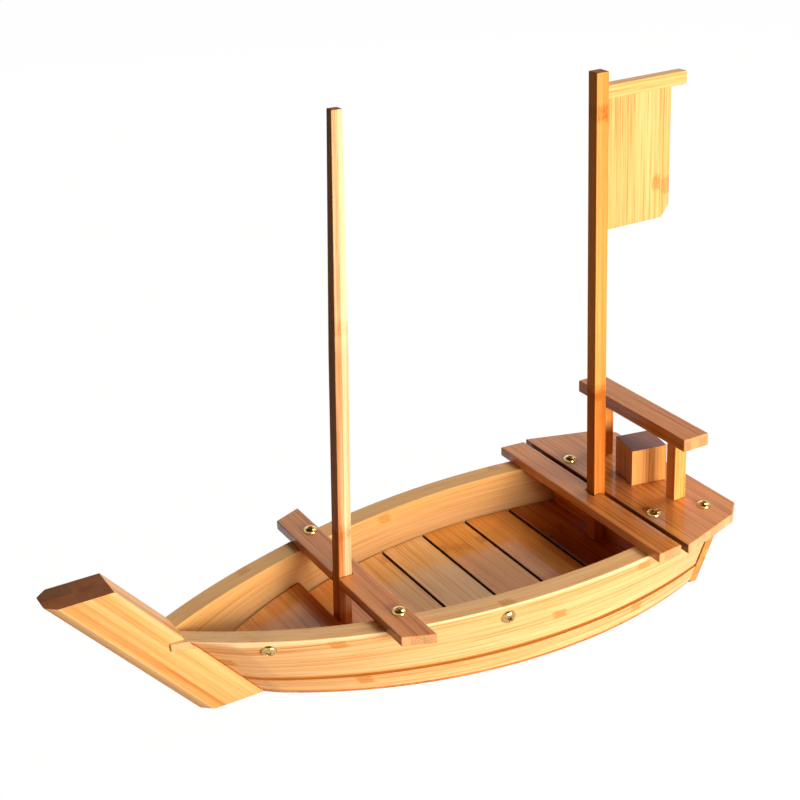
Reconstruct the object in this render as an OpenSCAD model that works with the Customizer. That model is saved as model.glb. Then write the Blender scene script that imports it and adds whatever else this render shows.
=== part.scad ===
// Wooden serving boat: planked hull, slatted floor, thwarts, stern deck with rail, and two lift-out masts.
// +X is forward, +Y is port and +Z is up. Lengths are millimetres and the hull stands on z = 0.

/* [Hull] */
// Height of the level part of the gunwale
gunwale_h = 47; // [45:0.5:50]
// Plan radius of the gunwale
gunwale_r = 417; // [410:1:425]
// Half beam over the gunwale at its widest
half_beam = 78.6; // [77.4:0.2:80]
// Place of the widest gunwale point
gunwale_x = -82.7; // [-85:0.1:-80]
// Plan radius of the hull's bottom edge
bottom_r = 292; // [288:1:298]
// Half width of the bottom at its widest
half_bottom = 71.4; // [70.2:0.2:72]
// Place of the widest bottom point
bottom_x = -80; // [-82:0.1:-77.5]
// Level thickness of the side planks at the gunwale
plank_t = 14.2; // [13:0.1:15]
// How much thinner the side planks are at table level
plank_taper = 6.5; // [5:0.1:7]
// Rise of the gunwale from the fore thwart to the stem
sheer_rise = 4.5; // [1:0.1:7]
// Height of the planed facet on the gunwale amidships
facet_mid = 1.5; // [1:0.1:2.5]
// Height of the planed facet at the bow and stern
facet_end = 4.4; // [3:0.1:6]
// Height of the seam between the lower and upper strakes
seam_h = 15.9; // [14.5:0.1:17]
// Height of the groove cut under the seam
groove_h = 3; // [1.5:0.1:3.6]
// Depth of the groove cut under the seam
groove_d = 3; // [1.5:0.1:4]
// Thickness of the bottom board
bottom_t = 2.4; // [2:0.1:3]
// Set-back of the bottom board from the hull side
bottom_inset = 0.8; // [0.4:0.1:2]

/* [Stem] */
// Width of the stem post
stem_w = 24.2; // [23:0.1:25.4]
// Depth of the stem post, square to its length
stem_d = 28.6; // [24:0.1:32]
// Slope of the stem post above level
stem_angle = 49.8; // [48:0.1:52]
// Height of the top of the stem post
stem_h = 93.6; // [85:0.1:105]
// Place of the stem post's aft edge at table level
stem_x = 93.9; // [92:0.1:95]
// Depth of the bevels on the stem's leading corners
stem_bevel_d = 4.9; // [3:0.1:7]
// Width of the bevels on the stem's leading corners
stem_bevel_w = 5.8; // [3:0.1:7]
// Length of the plank tongues lapped on the stem's sides
lap_l = 9.6; // [6:0.1:11]
// Height of the plank tongues
lap_h = 4.6; // [3:0.1:5.5]

/* [Stern] */
// Place of the transom's aft face at table level
transom_x = -189; // [-190:0.1:-188]
// Thickness of the transom
transom_t = 5.4; // [5.2:0.1:6.4]
// How far the transom's top corners stand out from the hull side
transom_lip = 1.5; // [0.5:0.1:2.5]
// Rake of the transom
transom_rake = 7.6; // [7:0.1:8.2]
// Gap between the upper strakes and the transom
strake_end = 2.2; // [0.5:0.1:3]
// Thickness of the aft bulkhead
bulkhead_t = 12; // [11:0.1:14]
// Place of the stern deck's front edge
deck_x = -153.4; // [-154:0.1:-152.6]
// Length of the stern deck
deck_l = 57; // [54:0.1:62]
// Half width of the stern deck at its front edge
deck_front = 87; // [84:0.1:92]
// Half width of the stern deck where the rear corners are cut
deck_side = 71.7; // [68:0.1:74]
// Half width of the stern deck at its rear edge
deck_rear = 61.1; // [58:0.1:64]
// Length of the cut rear corners
deck_cut = 10.4; // [6:0.1:14]

/* [Thwarts] */
// Thickness of the thwarts and the stern deck
board_t = 6.2; // [5.6:0.1:7]
// Width of the fore thwart
fore_thwart_w = 18.5; // [17.6:0.1:19.2]
// Place of the fore thwart's centre line
fore_thwart_x = 28.9; // [28.4:0.1:29.6]
// Half length of the fore thwart at its front edge
fore_thwart_front = 79; // [72:0.1:82]
// Half length of the fore thwart at its rear edge
fore_thwart_rear = 86.9; // [84:0.1:92]
// Width of the aft thwart
aft_thwart_w = 17.5; // [16:0.1:19]
// Half length of the aft thwart at its front edge
aft_thwart_front = 86.1; // [83:0.1:90]
// Half length of the aft thwart at its rear edge
aft_thwart_rear = 84.5; // [82:0.1:90]
// Gap between the aft thwart and the stern deck
deck_gap = 3.2; // [2:0.1:4]

/* [Floor] */
// Height of the top of the floor slats
floor_h = 20.5; // [19:0.1:22]
// Thickness of the floor slats and the bow deck
slat_t = 6; // [5:0.1:6.6]
// Spacing of the floor slats
slat_pitch = 32.5; // [32.2:0.1:33]
// Gap between neighbouring slats
slat_gap = 1.6; // [0.8:0.1:2.4]
// Gap between the slats and the hull side
slat_side_gap = 0.4; // [0.3:0.1:1.5]
// Length of the foremost slat, which holds the fore mast's foot
first_slat_l = 38.4; // [36.6:0.1:39.4]
// Height of the top of the bow deck
bow_deck_h = 29.5; // [28.6:0.1:32]
// Rear edge of the bow deck
bow_deck_x = 42.7; // [41.5:0.1:45]
// Half spacing of the two floor battens
batten_y = 14; // [12.5:0.1:14.5]
// Width of the floor battens
batten_w = 8; // [6:0.1:9]

/* [Masts] */
// Fore and aft size of both masts
mast_l = 8.4; // [8:0.1:9.2]
// Athwart size of both masts
mast_w = 8.5; // [8:0.1:9.2]
// Height of the top of the fore mast
fore_mast_h = 327; // [260:1:360]
// Fore and aft size of the fore mast's tip
fore_tip_l = 6.5; // [4:0.1:7.5]
// Athwart size of the fore mast's tip
fore_tip_w = 5.7; // [4:0.1:7]
// Place of the fore mast's axis at the thwart top
fore_mast_x = 33.1; // [32.6:0.1:33.4]
// Aft rake of the fore mast
fore_rake = 2.9; // [0:0.1:3.2]
// Height of the top of the aft mast
aft_mast_h = 321; // [260:1:360]
// Clearance of each mast in its notch and floor slot
mast_fit = 0.5; // [0.3:0.05:0.8]
// Clearance ahead of the aft mast in its notch
aft_slack = 1.2; // [0.4:0.1:1.6]

/* [Flag] */
// Drop of the flag yard's underside below the mast top
yard_drop = 16; // [13:0.5:22]
// Height of the flag yard's section
yard_h = 7.8; // [7:0.1:9]
// Width of the flag yard's section
yard_t = 7.4; // [6.4:0.1:7.4]
// Length of the flag yard behind the mast
yard_l = 56.3; // [50:0.1:70]
// Thickness of the flag board
flag_t = 4; // [3:0.1:4.6]
// Length of the flag board
flag_l = 46.5; // [40:0.1:49]
// Depth of the flag board below the yard
flag_drop = 78.8; // [50:0.1:100]
// Length of the flag's cut corner
flag_cut_l = 5.6; // [3:0.1:10]
// Height of the flag's cut corner
flag_cut_h = 7.4; // [3:0.1:12]

/* [Rail] */
// Side of the square rail posts
post_s = 8.6; // [7:0.1:9]
// Height of the rail posts above the deck
post_h = 42; // [36:0.1:50]
// Distance of the port rail post from the centre line
port_post_y = 34.3; // [33:0.1:40]
// Distance of the starboard rail post from the centre line
starboard_post_y = 41; // [33:0.1:42]
// Place of the rail posts
post_x = -185.2; // [-186:0.1:-183]
// Place of the rail bar's centre line
rail_x = -183.5; // [-184.5:0.1:-182.5]
// Width of the rail bar
rail_w = 18.6; // [16:0.1:22]
// Length of the rail bar
rail_l = 109.3; // [100:0.1:120]
// Thickness of the rail bar
rail_t = 8.1; // [6.4:0.1:9]
// Diameter of the round tenons on the rail posts
tenon_d = 4.6; // [4:0.1:5.4]
// Length of the round tenons on the rail posts
tenon_l = 4; // [3:0.1:4.8]
// Side of the block on the deck
block_s = 24.2; // [20:0.1:28]
// Height of the block on the deck
block_h = 24.6; // [20:0.1:28]
// Turn of the block about the vertical
block_turn = -11.2; // [-20:0.1:20]
// Sideways place of the block
block_y = -1.3; // [-4:0.1:4]

/* [Screws] */
// Diameter of the screw heads
head_d = 9; // [7:0.1:9.6]
// Height of the screw heads
head_h = 2.6; // [1.8:0.1:3]
// Diameter of the screw shanks
shank_d = 3.2; // [2.6:0.1:3.2]
// Length of the thwart and deck screws under the head
screw_l = 13; // [11:0.1:13]
// Length of the side screws under the head
side_screw_l = 9; // [7:0.1:10]
// Clearance round the screw shanks and tenons
peg_fit = 0.05; // [0.03:0.01:0.08]
// Half spacing of the fore thwart screws
thwart_screw_y = 55.7; // [54.5:0.1:57.5]
// How far the fore thwart screws stand behind the thwart's centre line
thwart_screw_back = 2.9; // [1:0.1:4]
// Half spacing of the front deck screws
deck_screw_y1 = 44.7; // [42:0.1:52]
// Half spacing of the rear deck screws
deck_screw_y2 = 53.4; // [50:0.1:56]
// Place of the forward side screws
side_screw_x1 = 98; // [92:0.1:100]
// Height of the forward side screws
side_screw_z1 = 42.6; // [41:0.1:43]
// Place of the after side screws
side_screw_x2 = -34; // [-60:0.1:0]
// Height of the after side screws
side_screw_z2 = 39; // [34:0.1:41]

/* [Hidden] */
$fn = 48;
thwart_top = gunwale_h + board_t;
seat_gap = 0.04;
stem_lip = 0.3;
pare = 0.9;
half_gap = 0.15;
sheer_x = fore_thwart_x + fore_thwart_w/2 + 0.4;
sheer_l = stem_x + gunwale_h/tan(stem_angle) - sheer_x;
facet_x = (stem_x + transom_x)/2 + 18;
facet_l = 165;
stem_tip_x = stem_x + stem_d/sin(stem_angle) + stem_h/tan(stem_angle);
mid_x = (stem_tip_x + deck_x - deck_l)/2;
rake_tan = tan(transom_rake);
aft_mast_rear = deck_x + 0.3;
aft_mast_x = aft_mast_rear + mast_l/2;
slat_cut = [for (i = [0:4]) deck_x + slat_pitch*(i + 1) - 0.3];
slat_front = slat_cut[4] + slat_gap/2 + first_slat_l;
fore_mast_run = (fore_mast_h - thwart_top)/cos(fore_rake);
yard_z = aft_mast_h - yard_drop;
deck_screw_x1 = deck_x - bulkhead_t/2 - 1;
deck_screw_x2 = transom_x + transom_t/2 - 0.2 - (gunwale_h - 3)*rake_tan;
tongue = 2;
stations = concat([for (i = [0:42]) i/44], [0.966, 0.974, 0.981, 0.987, 0.992, 0.996, 1]);
bamboo = [0.80, 0.56, 0.28];
dark_bamboo = [0.66, 0.42, 0.22];
brass = [0.80, 0.66, 0.28];

// Hull lines
function arc_y(x, apex_x, apex_y, r) = apex_y - r + sqrt(r*r - (x - apex_x)*(x - apex_x));
function top_y(x) = arc_y(x, gunwale_x, half_beam, gunwale_r);
function low_y(x) = arc_y(x, bottom_x, half_bottom, bottom_r);
function sheer_z(x) = gunwale_h + sheer_rise*pow(max(0, (x - sheer_x)/sheer_l), 1.6);
function facet_drop(x) = facet_mid + (facet_end - facet_mid)*pow((x - facet_x)/facet_l, 2);
function flare_y(x, z, a) = top_y(x) + (low_y(x) - top_y(x))*(a - z)/a;
function side_y(x, z) = flare_y(x, min(z, sheer_z(x) - facet_drop(x)), sheer_z(x) - facet_drop(x));
function bow_x(z) = stem_x + z/tan(stem_angle) - seat_gap;
function stern_x(z) = transom_x + transom_t/cos(transom_rake) - z*rake_tan + seat_gap;
function hull_x(s, z, back) = (1 - s)*(stern_x(z) + back) + s*bow_x(z);
function outer_y(x, z) = min(side_y(x, z), stem_w/2 - stem_lip + pare*(bow_x(z) - x));
function wall(z) = plank_t - plank_taper*(1 - min(z/gunwale_h, 1));
function inner_y(x, z) = max(side_y(x, z) - wall(z), half_gap);
function gunwale_z(s) = sheer_z(hull_x(s, gunwale_h, strake_end));
function knuckle_z(s) = gunwale_z(s) - facet_drop(hull_x(s, gunwale_h, strake_end));
function rise_z(top, share) = seam_h + (top - seam_h)*share;

// One section point of each strake, from station share and height
function in_pt(s, z, back) = [hull_x(s, z, back), inner_y(hull_x(s, z, back), z), z];
function out_pt(s, z, back) = [hull_x(s, z, back), outer_y(hull_x(s, z, back), z), z];
function cut_pt(s, z, zo) = [hull_x(s, z, 0), outer_y(hull_x(s, zo, 0), zo) - groove_d, z];
function rim_pt(s, z) = [hull_x(s, z, strake_end), top_y(hull_x(s, z, strake_end)), z];

// Section rows of the strakes, in order round the section
function upper_row(s) = [
  in_pt(s, seam_h, strake_end),
  out_pt(s, seam_h, strake_end),
  out_pt(s, rise_z(knuckle_z(s), 1/3), strake_end),
  out_pt(s, rise_z(knuckle_z(s), 2/3), strake_end),
  out_pt(s, knuckle_z(s), strake_end),
  rim_pt(s, gunwale_z(s)),
  in_pt(s, gunwale_z(s), strake_end),
  in_pt(s, rise_z(gunwale_z(s), 2/3), strake_end),
  in_pt(s, rise_z(gunwale_z(s), 1/3), strake_end)
];
function lower_row(s) = [
  in_pt(s, bottom_t, 0),
  out_pt(s, bottom_t, 0),
  out_pt(s, seam_h - groove_h, 0),
  cut_pt(s, seam_h - groove_h, seam_h - groove_h),
  cut_pt(s, seam_h, seam_h - groove_h),
  in_pt(s, seam_h, 0)
];

// Outward normal of the hull side, for the side screws
function slope_x(x, z) = side_y(x + 0.5, z) - side_y(x - 0.5, z);
function slope_z(x, z) = side_y(x, z + 0.5) - side_y(x, z - 0.5);
function normal_len(x, z) = sqrt(1 + pow(slope_x(x, z), 2) + pow(slope_z(x, z), 2));
function normal_tilt(x, z) = acos(-slope_z(x, z)/normal_len(x, z));
function normal_turn(x, z) = atan2(1, -slope_x(x, z));

// Solid lofted through equal section rows
module loft(rows) {
  n = len(rows);
  k = len(rows[0]);
  skin = [for (i = [0:n - 2], j = [0:k - 1], t = [0, 1])
    t == 0 ? [i*k + j, (i + 1)*k + (j + 1)%k, i*k + (j + 1)%k]
           : [i*k + j, (i + 1)*k + j, (i + 1)*k + (j + 1)%k]];
  ends = [[for (j = [0:k - 1]) j], [for (j = [k - 1:-1:0]) (n - 1)*k + j]];
  polyhedron(points = [for (r = rows) each r], faces = concat(skin, ends), convexity = 6);
}

// Shift from the drawing frame to the centre of the whole length
module place() {
  translate([-mid_x, 0, 0]) children();
}

// Both sides of a thing drawn to port
module both_sides() {
  children();
  mirror([0, 1, 0]) children();
}

// Board with ends cut on a slant, from its front and rear edges
module board(front_x, rear_x, front_half, rear_half, z, t) {
  translate([0, 0, z]) linear_extrude(t) polygon([
    [front_x, front_half],
    [rear_x, rear_half],
    [rear_x, -rear_half],
    [front_x, -front_half]
  ]);
}

// Frame of the raked fore mast, with its origin on the axis at the thwart top
module on_fore_mast() {
  translate([fore_mast_x, 0, thwart_top]) rotate([0, -fore_rake, 0]) children();
}

// Clearance slot for the fore mast, let out forward by the given length
module fore_slot(ahead) {
  on_fore_mast()
    translate([-mast_l/2 - mast_fit, -mast_w/2 - mast_fit, -thwart_top])
      cube([mast_l + 2*mast_fit + ahead, mast_w + 2*mast_fit, 2*thwart_top]);
}

// Clearance slot for the aft mast, open to the rear
module aft_slot(slack) {
  translate([aft_mast_rear - 10, -mast_w/2 - mast_fit, -1])
    cube([10 + mast_l + slack, mast_w + 2*mast_fit, 2*thwart_top]);
}

// Round head screw standing on z = 0 with its shank below
module screw(len) {
  ball_r = (head_d*head_d/4 + head_h*head_h)/(2*head_h);
  difference() {
    union() {
      intersection() {
        cylinder(d = head_d, h = head_h + 1);
        translate([0, 0, head_h - ball_r]) sphere(r = ball_r);
      }
      translate([0, 0, -len]) cylinder(d = shank_d, h = len + 0.2);
    }
    for (a = [0, 90]) rotate([0, 0, a + 20])
      translate([-head_d*0.26, -head_h*0.17, head_h*0.62]) cube([head_d*0.52, head_h*0.34, head_h]);
  }
}

// Bore for a screw shank below z = 0
module screw_bore(len) {
  translate([0, 0, -len - 0.3]) cylinder(r = shank_d/2 + peg_fit, h = len + 4);
}

// Places of the port screws
module at_thwart_screw() {
  translate([fore_thwart_x - thwart_screw_back, thwart_screw_y, thwart_top]) children();
}

module at_deck_screws() {
  translate([deck_screw_x1, deck_screw_y1, thwart_top]) children();
  translate([deck_screw_x2, deck_screw_y2, thwart_top]) children();
}

// Places of the two rail posts
module at_rail_posts() {
  translate([post_x, port_post_y, 0]) children();
  translate([post_x, -starboard_post_y, 0]) children();
}

module at_side_screw(x, z) {
  translate([x, side_y(x, z), z])
    rotate([0, normal_tilt(x, z), normal_turn(x, z)]) translate([0, 0, 0.08]) children();
}

module at_side_screws() {
  at_side_screw(side_screw_x1, side_screw_z1) children();
  at_side_screw(side_screw_x2, side_screw_z2) children();
}

// Tongue of an upper strake lapped on the side of the stem
module lap_tongue() {
  z = gunwale_z(1);
  x = bow_x(z);
  y = stem_w/2 + 0.1;
  rim = top_y(x);
  translate([0, 0, z - lap_h]) linear_extrude(lap_h) polygon([
    [x - 3, y],
    [x - 3, top_y(x - 3) - 0.2],
    [x, rim],
    [x + lap_l*0.5, rim - (rim - y)*0.32],
    [x + lap_l*0.85, rim - (rim - y)*0.52],
    [x + lap_l*0.96, rim - (rim - y)*0.70],
    [x + lap_l, y]
  ]);
}

module upper_strake() {
  difference() {
    union() {
      loft([for (s = stations) upper_row(s)]);
      lap_tongue();
    }
    at_thwart_screw() screw_bore(screw_l);
    at_side_screws() screw_bore(side_screw_l);
  }
}

module lower_strake() {
  loft([for (s = stations) lower_row(s)]);
}

module port_upper_strake() {
  color(bamboo) place() upper_strake();
}

module starboard_upper_strake() {
  color(bamboo) place() mirror([0, 1, 0]) upper_strake();
}

module port_lower_strake() {
  color(bamboo) place() lower_strake();
}

module starboard_lower_strake() {
  color(bamboo) place() mirror([0, 1, 0]) lower_strake();
}

module bottom_board() {
  xb = bow_x(0);
  xs = stern_x(0);
  lip = stem_w/2 - stem_lip;
  color(bamboo) place() linear_extrude(bottom_t) intersection() {
    translate([bottom_x, half_bottom - bottom_r]) circle(r = bottom_r - bottom_inset, $fn = 360);
    translate([bottom_x, bottom_r - half_bottom]) circle(r = bottom_r - bottom_inset, $fn = 360);
    polygon([
      [xs, -120],
      [xb - 120, -lip - 120*pare],
      [xb, -lip],
      [xb, lip],
      [xb - 120, lip + 120*pare],
      [xs, 120]
    ]);
  }
}

module stem_post() {
  half = stem_w/2;
  reach = 2*stem_h + 100;
  color(dark_bamboo) place() intersection() {
    translate([stem_x, 0, 0]) rotate([0, 90 - stem_angle, 0])
      translate([0, 0, -60]) linear_extrude(reach) polygon([
        [0, -half],
        [stem_d - stem_bevel_d, -half],
        [stem_d, -half + stem_bevel_w],
        [stem_d, half - stem_bevel_w],
        [stem_d - stem_bevel_d, half],
        [0, half]
      ]);
    translate([0, -50, 0]) cube([400, 100, stem_h]);
  }
}

module transom() {
  top_half = side_y(stern_x(gunwale_h), gunwale_h) + transom_lip;
  foot_half = side_y(stern_x(0), 0) + 0.3;
  rise = (gunwale_h)/cos(transom_rake);
  color(bamboo) place() intersection() {
    translate([transom_x, 0, 0]) rotate([0, -transom_rake, 0]) rotate([90, 0, 90])
      linear_extrude(transom_t) polygon([
        [-foot_half + (top_half - foot_half)*10/rise, -10],
        [foot_half - (top_half - foot_half)*10/rise, -10],
        [top_half + (top_half - foot_half)*10/rise, rise + 10],
        [-top_half - (top_half - foot_half)*10/rise, rise + 10]
      ]);
    translate([transom_x - 100, -150, 0]) cube([200, 300, gunwale_h]);
  }
}

module transom_bored() {
  difference() {
    transom();
    place() both_sides() at_deck_screws() screw_bore(screw_l);
  }
}

module aft_bulkhead() {
  xr = deck_x - bulkhead_t;
  low = inner_y(xr, bottom_t) - slat_side_gap;
  seam = inner_y(xr, seam_h) - slat_side_gap;
  top = inner_y(xr, gunwale_h - 6) - slat_side_gap;
  color(bamboo) place() difference() {
    translate([xr, 0, 0]) rotate([90, 0, 90]) linear_extrude(bulkhead_t) polygon([
      [low, bottom_t],
      [seam, seam_h],
      [top, gunwale_h - 6],
      [top, gunwale_h],
      [-top, gunwale_h],
      [-top, gunwale_h - 6],
      [-seam, seam_h],
      [-low, bottom_t]
    ]);
    both_sides() at_deck_screws() screw_bore(screw_l);
  }
}

// Floor batten with a step at its front end to carry the bow deck
module batten() {
  top = floor_h - slat_t;
  step = slat_front + 0.4;
  translate([0, batten_y + batten_w/2, 0]) rotate([90, 0, 0]) linear_extrude(batten_w) polygon([
    [deck_x + 1, bottom_t],
    [step + 10, bottom_t],
    [step + 10, bow_deck_h - slat_t],
    [step, bow_deck_h - slat_t],
    [step, top],
    [deck_x + 1, top]
  ]);
}

module port_batten() {
  color(dark_bamboo) place() batten();
}

module starboard_batten() {
  color(dark_bamboo) place() mirror([0, 1, 0]) batten();
}

// Floor slat between two cut lines
module slat(front_x, rear_x) {
  z = floor_h - slat_t;
  board(front_x, rear_x, inner_y(front_x, z) - slat_side_gap, inner_y(rear_x, z) - slat_side_gap, z, slat_t);
}

module floor_slat_1() {
  color(bamboo) place() difference() {
    slat(slat_front, slat_cut[4] + slat_gap/2);
    fore_slot(0);
  }
}

module floor_slat_2() {
  color(bamboo) place() slat(slat_cut[4] - slat_gap/2, slat_cut[3] + slat_gap/2);
}

module floor_slat_3() {
  color(bamboo) place() slat(slat_cut[3] - slat_gap/2, slat_cut[2] + slat_gap/2);
}

module floor_slat_4() {
  color(bamboo) place() slat(slat_cut[2] - slat_gap/2, slat_cut[1] + slat_gap/2);
}

module floor_slat_5() {
  color(bamboo) place() slat(slat_cut[1] - slat_gap/2, slat_cut[0] + slat_gap/2);
}

module floor_slat_6() {
  color(bamboo) place() difference() {
    slat(slat_cut[0] - slat_gap/2, deck_x + 0.3);
    aft_slot(mast_fit);
  }
}

module bow_deck() {
  z = bow_deck_h - slat_t;
  tip = bow_x(z) - 0.6;
  xs = [for (i = [0:10]) bow_deck_x + (tip - bow_deck_x)*i/10];
  port = [for (x = xs) [x, max(inner_y(x, z) - slat_side_gap, 0.8)]];
  starboard = [for (i = [10:-1:0]) [port[i][0], -port[i][1]]];
  color(bamboo) place() translate([0, 0, z]) linear_extrude(slat_t) polygon(concat(port, starboard));
}

module fore_thwart() {
  front_x = fore_thwart_x + fore_thwart_w/2;
  rear_x = fore_thwart_x - fore_thwart_w/2;
  color(dark_bamboo) place() difference() {
    board(front_x, rear_x, fore_thwart_front, fore_thwart_rear, gunwale_h, board_t);
    fore_slot(20);
    both_sides() at_thwart_screw() screw_bore(screw_l);
  }
}

module aft_thwart() {
  rear_x = deck_x + deck_gap;
  color(dark_bamboo) place() difference() {
    board(rear_x + aft_thwart_w, rear_x, aft_thwart_front, aft_thwart_rear, gunwale_h, board_t);
    aft_slot(aft_slack);
  }
}

module stern_deck() {
  color(dark_bamboo) place() difference() {
    translate([0, 0, gunwale_h]) linear_extrude(board_t) polygon([
      [deck_x, deck_front],
      [deck_x - deck_l + deck_cut, deck_side],
      [deck_x - deck_l, deck_rear],
      [deck_x - deck_l, -deck_rear],
      [deck_x - deck_l + deck_cut, -deck_side],
      [deck_x, -deck_front]
    ]);
    both_sides() at_deck_screws() screw_bore(screw_l);
    at_rail_posts() translate([0, 0, thwart_top - tenon_l - 0.2])
      cylinder(r = tenon_d/2 + peg_fit, h = tenon_l + 2);
  }
}

module rail_post(y) {
  translate([post_x - post_s/2, y - post_s/2, thwart_top]) cube([post_s, post_s, post_h]);
  translate([post_x, y, thwart_top - tenon_l]) cylinder(d = tenon_d, h = post_h + 2*tenon_l);
}

module port_rail_post() {
  color(bamboo) place() rail_post(port_post_y);
}

module starboard_rail_post() {
  color(bamboo) place() rail_post(-starboard_post_y);
}

module rail_bar() {
  z = thwart_top + post_h;
  color(dark_bamboo) place() difference() {
    translate([rail_x - rail_w/2, -rail_l/2, z]) cube([rail_w, rail_l, rail_t]);
    at_rail_posts() translate([0, 0, z - 2]) cylinder(r = tenon_d/2 + peg_fit, h = tenon_l + 2.2);
  }
}

module deck_block() {
  color(bamboo) place() translate([post_x, block_y, thwart_top]) rotate([0, 0, block_turn])
    translate([-block_s/2, -block_s/2, 0]) cube([block_s, block_s, block_h]);
}

module fore_mast() {
  foot = thwart_top + 10;
  a = mast_l/2;
  b = mast_w/2;
  half_run = fore_mast_run*0.5;
  color(dark_bamboo) place() intersection() {
    on_fore_mast() rotate([90, 0, 0]) translate([0, 0, -20]) linear_extrude(40) polygon([
      [-a, -foot],
      [a, -foot],
      [a, half_run],
      [fore_tip_l/2, fore_mast_run],
      [-fore_tip_l/2, fore_mast_run],
      [-a, half_run]
    ]);
    on_fore_mast() rotate([90, 0, 90]) translate([0, 0, -20]) linear_extrude(40) polygon([
      [-b, -foot],
      [b, -foot],
      [b, half_run],
      [fore_tip_w/2, fore_mast_run],
      [-fore_tip_w/2, fore_mast_run],
      [-b, half_run]
    ]);
    translate([fore_mast_x - 100, -50, bottom_t]) cube([200, 100, 500]);
  }
}

module aft_mast() {
  color(dark_bamboo) place() difference() {
    translate([aft_mast_rear, -mast_w/2, bottom_t]) cube([mast_l, mast_w, aft_mast_h - bottom_t]);
    translate([aft_mast_rear - 1, -mast_w*0.23 - peg_fit, yard_z + yard_h*0.2 - peg_fit])
      cube([mast_l*0.6 + 1.2, mast_w*0.46 + 2*peg_fit, yard_h*0.6 + 2*peg_fit]);
  }
}

module flag_yard() {
  color(dark_bamboo) place() difference() {
    union() {
      translate([aft_mast_rear - yard_l, -yard_t/2, yard_z]) cube([yard_l, yard_t, yard_h]);
      translate([aft_mast_rear - 1, -mast_w*0.23, yard_z + yard_h*0.2])
        cube([mast_l*0.6 + 1, mast_w*0.46, yard_h*0.6]);
    }
    translate([aft_mast_rear - flag_l - 0.1, -flag_t/2 - peg_fit, yard_z - 1])
      cube([flag_l + 0.05, flag_t + 2*peg_fit, tongue + 1.2]);
  }
}

module flag_board() {
  front = aft_mast_rear - 0.05;
  rear = aft_mast_rear - flag_l;
  foot = yard_z - flag_drop;
  color(bamboo) place() translate([0, flag_t/2, 0]) rotate([90, 0, 0]) linear_extrude(flag_t) polygon([
    [front - 0.1, yard_z + tongue],
    [rear, yard_z + tongue],
    [rear, foot + flag_cut_h],
    [rear + flag_cut_l, foot],
    [front, foot],
    [front, yard_z - 0.1]
  ]);
}

module thwart_screws() {
  color(brass) place() both_sides() at_thwart_screw() screw(screw_l);
}

module deck_screws() {
  color(brass) place() both_sides() at_deck_screws() screw(screw_l);
}

module side_screws() {
  color(brass) place() both_sides() at_side_screws() screw(side_screw_l);
}

bottom_board();
port_lower_strake();
starboard_lower_strake();
port_upper_strake();
starboard_upper_strake();
stem_post();
transom_bored();  // transom
aft_bulkhead();
port_batten();
starboard_batten();
floor_slat_1();
floor_slat_2();
floor_slat_3();
floor_slat_4();
floor_slat_5();
floor_slat_6();
bow_deck();
fore_thwart();
aft_thwart();
stern_deck();
port_rail_post();
starboard_rail_post();
rail_bar();
deck_block();
fore_mast();
aft_mast();
flag_yard();
flag_board();
thwart_screws();
deck_screws();
side_screws();
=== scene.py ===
"""Serving boat of laminated bamboo: its looks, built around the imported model."""
import math

import bmesh
import bpy
import numpy as np
from mathutils import Matrix, Vector


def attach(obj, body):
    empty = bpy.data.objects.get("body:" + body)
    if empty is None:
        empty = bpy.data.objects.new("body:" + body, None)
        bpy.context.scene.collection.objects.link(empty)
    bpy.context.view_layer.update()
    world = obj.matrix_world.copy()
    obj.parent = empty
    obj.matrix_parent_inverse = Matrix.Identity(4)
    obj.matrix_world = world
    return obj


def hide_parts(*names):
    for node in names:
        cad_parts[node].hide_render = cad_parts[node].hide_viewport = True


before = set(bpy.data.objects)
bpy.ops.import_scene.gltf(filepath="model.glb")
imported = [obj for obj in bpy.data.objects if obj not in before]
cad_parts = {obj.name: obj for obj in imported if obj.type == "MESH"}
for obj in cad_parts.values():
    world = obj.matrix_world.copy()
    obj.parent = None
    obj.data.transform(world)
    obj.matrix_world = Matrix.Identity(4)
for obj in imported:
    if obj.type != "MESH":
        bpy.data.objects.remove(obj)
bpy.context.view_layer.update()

scene = bpy.context.scene
scene.view_settings.view_transform = "Standard"

MM = 0.001

# Hull lines, in millimetres
HULL = {
    "Gunwale Height": 47.0, "Gunwale Radius": 417.0, "Half Beam": 78.6, "Gunwale Apex": -82.7,
    "Bottom Radius": 292.0, "Half Bottom": 71.4, "Bottom Apex": -80.0, "Plank Thickness": 14.2, "Plank Taper": 6.5,
    "Sheer Rise": 4.5, "Sheer Start": 38.55, "Facet Middle": 1.5, "Facet End": 4.4,
    "Seam Height": 15.9, "Groove Height": 3.0, "Groove Depth": 3.0, "Bottom Thickness": 2.4,
    "Stem Foot": 93.9, "Stem Angle": 49.8, "Stem Width": 24.2,
    "Transom Foot": -189.0, "Transom Thickness": 5.4, "Transom Rake": 7.6, "Strake Gap": 2.2,
}
SHEER_POWER = 1.6
# The gunwale's facet is narrowest this far ahead of the hull's middle, and at its end width this far from there
FACET_AHEAD, FACET_REACH = 18.0, 165.0
# The planks are pared towards the stem at this slope, to a little less than its width
PARE, STEM_LIP = 0.9, 0.3
# How far the bottom board stands in, the planks stand off their seats, and the planks keep off the middle
BOTTOM_INSET, SEAT_GAP, HALF_GAP = 0.8, 0.04, 0.15

# Boards, masts and screws, in millimetres and degrees
STEM_D, STEM_H, STEM_BEVEL_D, STEM_BEVEL_W, STEM_ROUND = 28.6, 93.6, 4.9, 5.8, 0.9
# The lap of an upper strake over the stem: its size, and how far it keeps off the stem, starts inside the strake,
# stays full and keeps under the gunwale
LAP_L, LAP_H, LAP_FIT, LAP_BACK, LAP_FULL, LAP_UNDER = 9.6, 4.6, 0.1, 0.4, 0.3, 0.02
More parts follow.
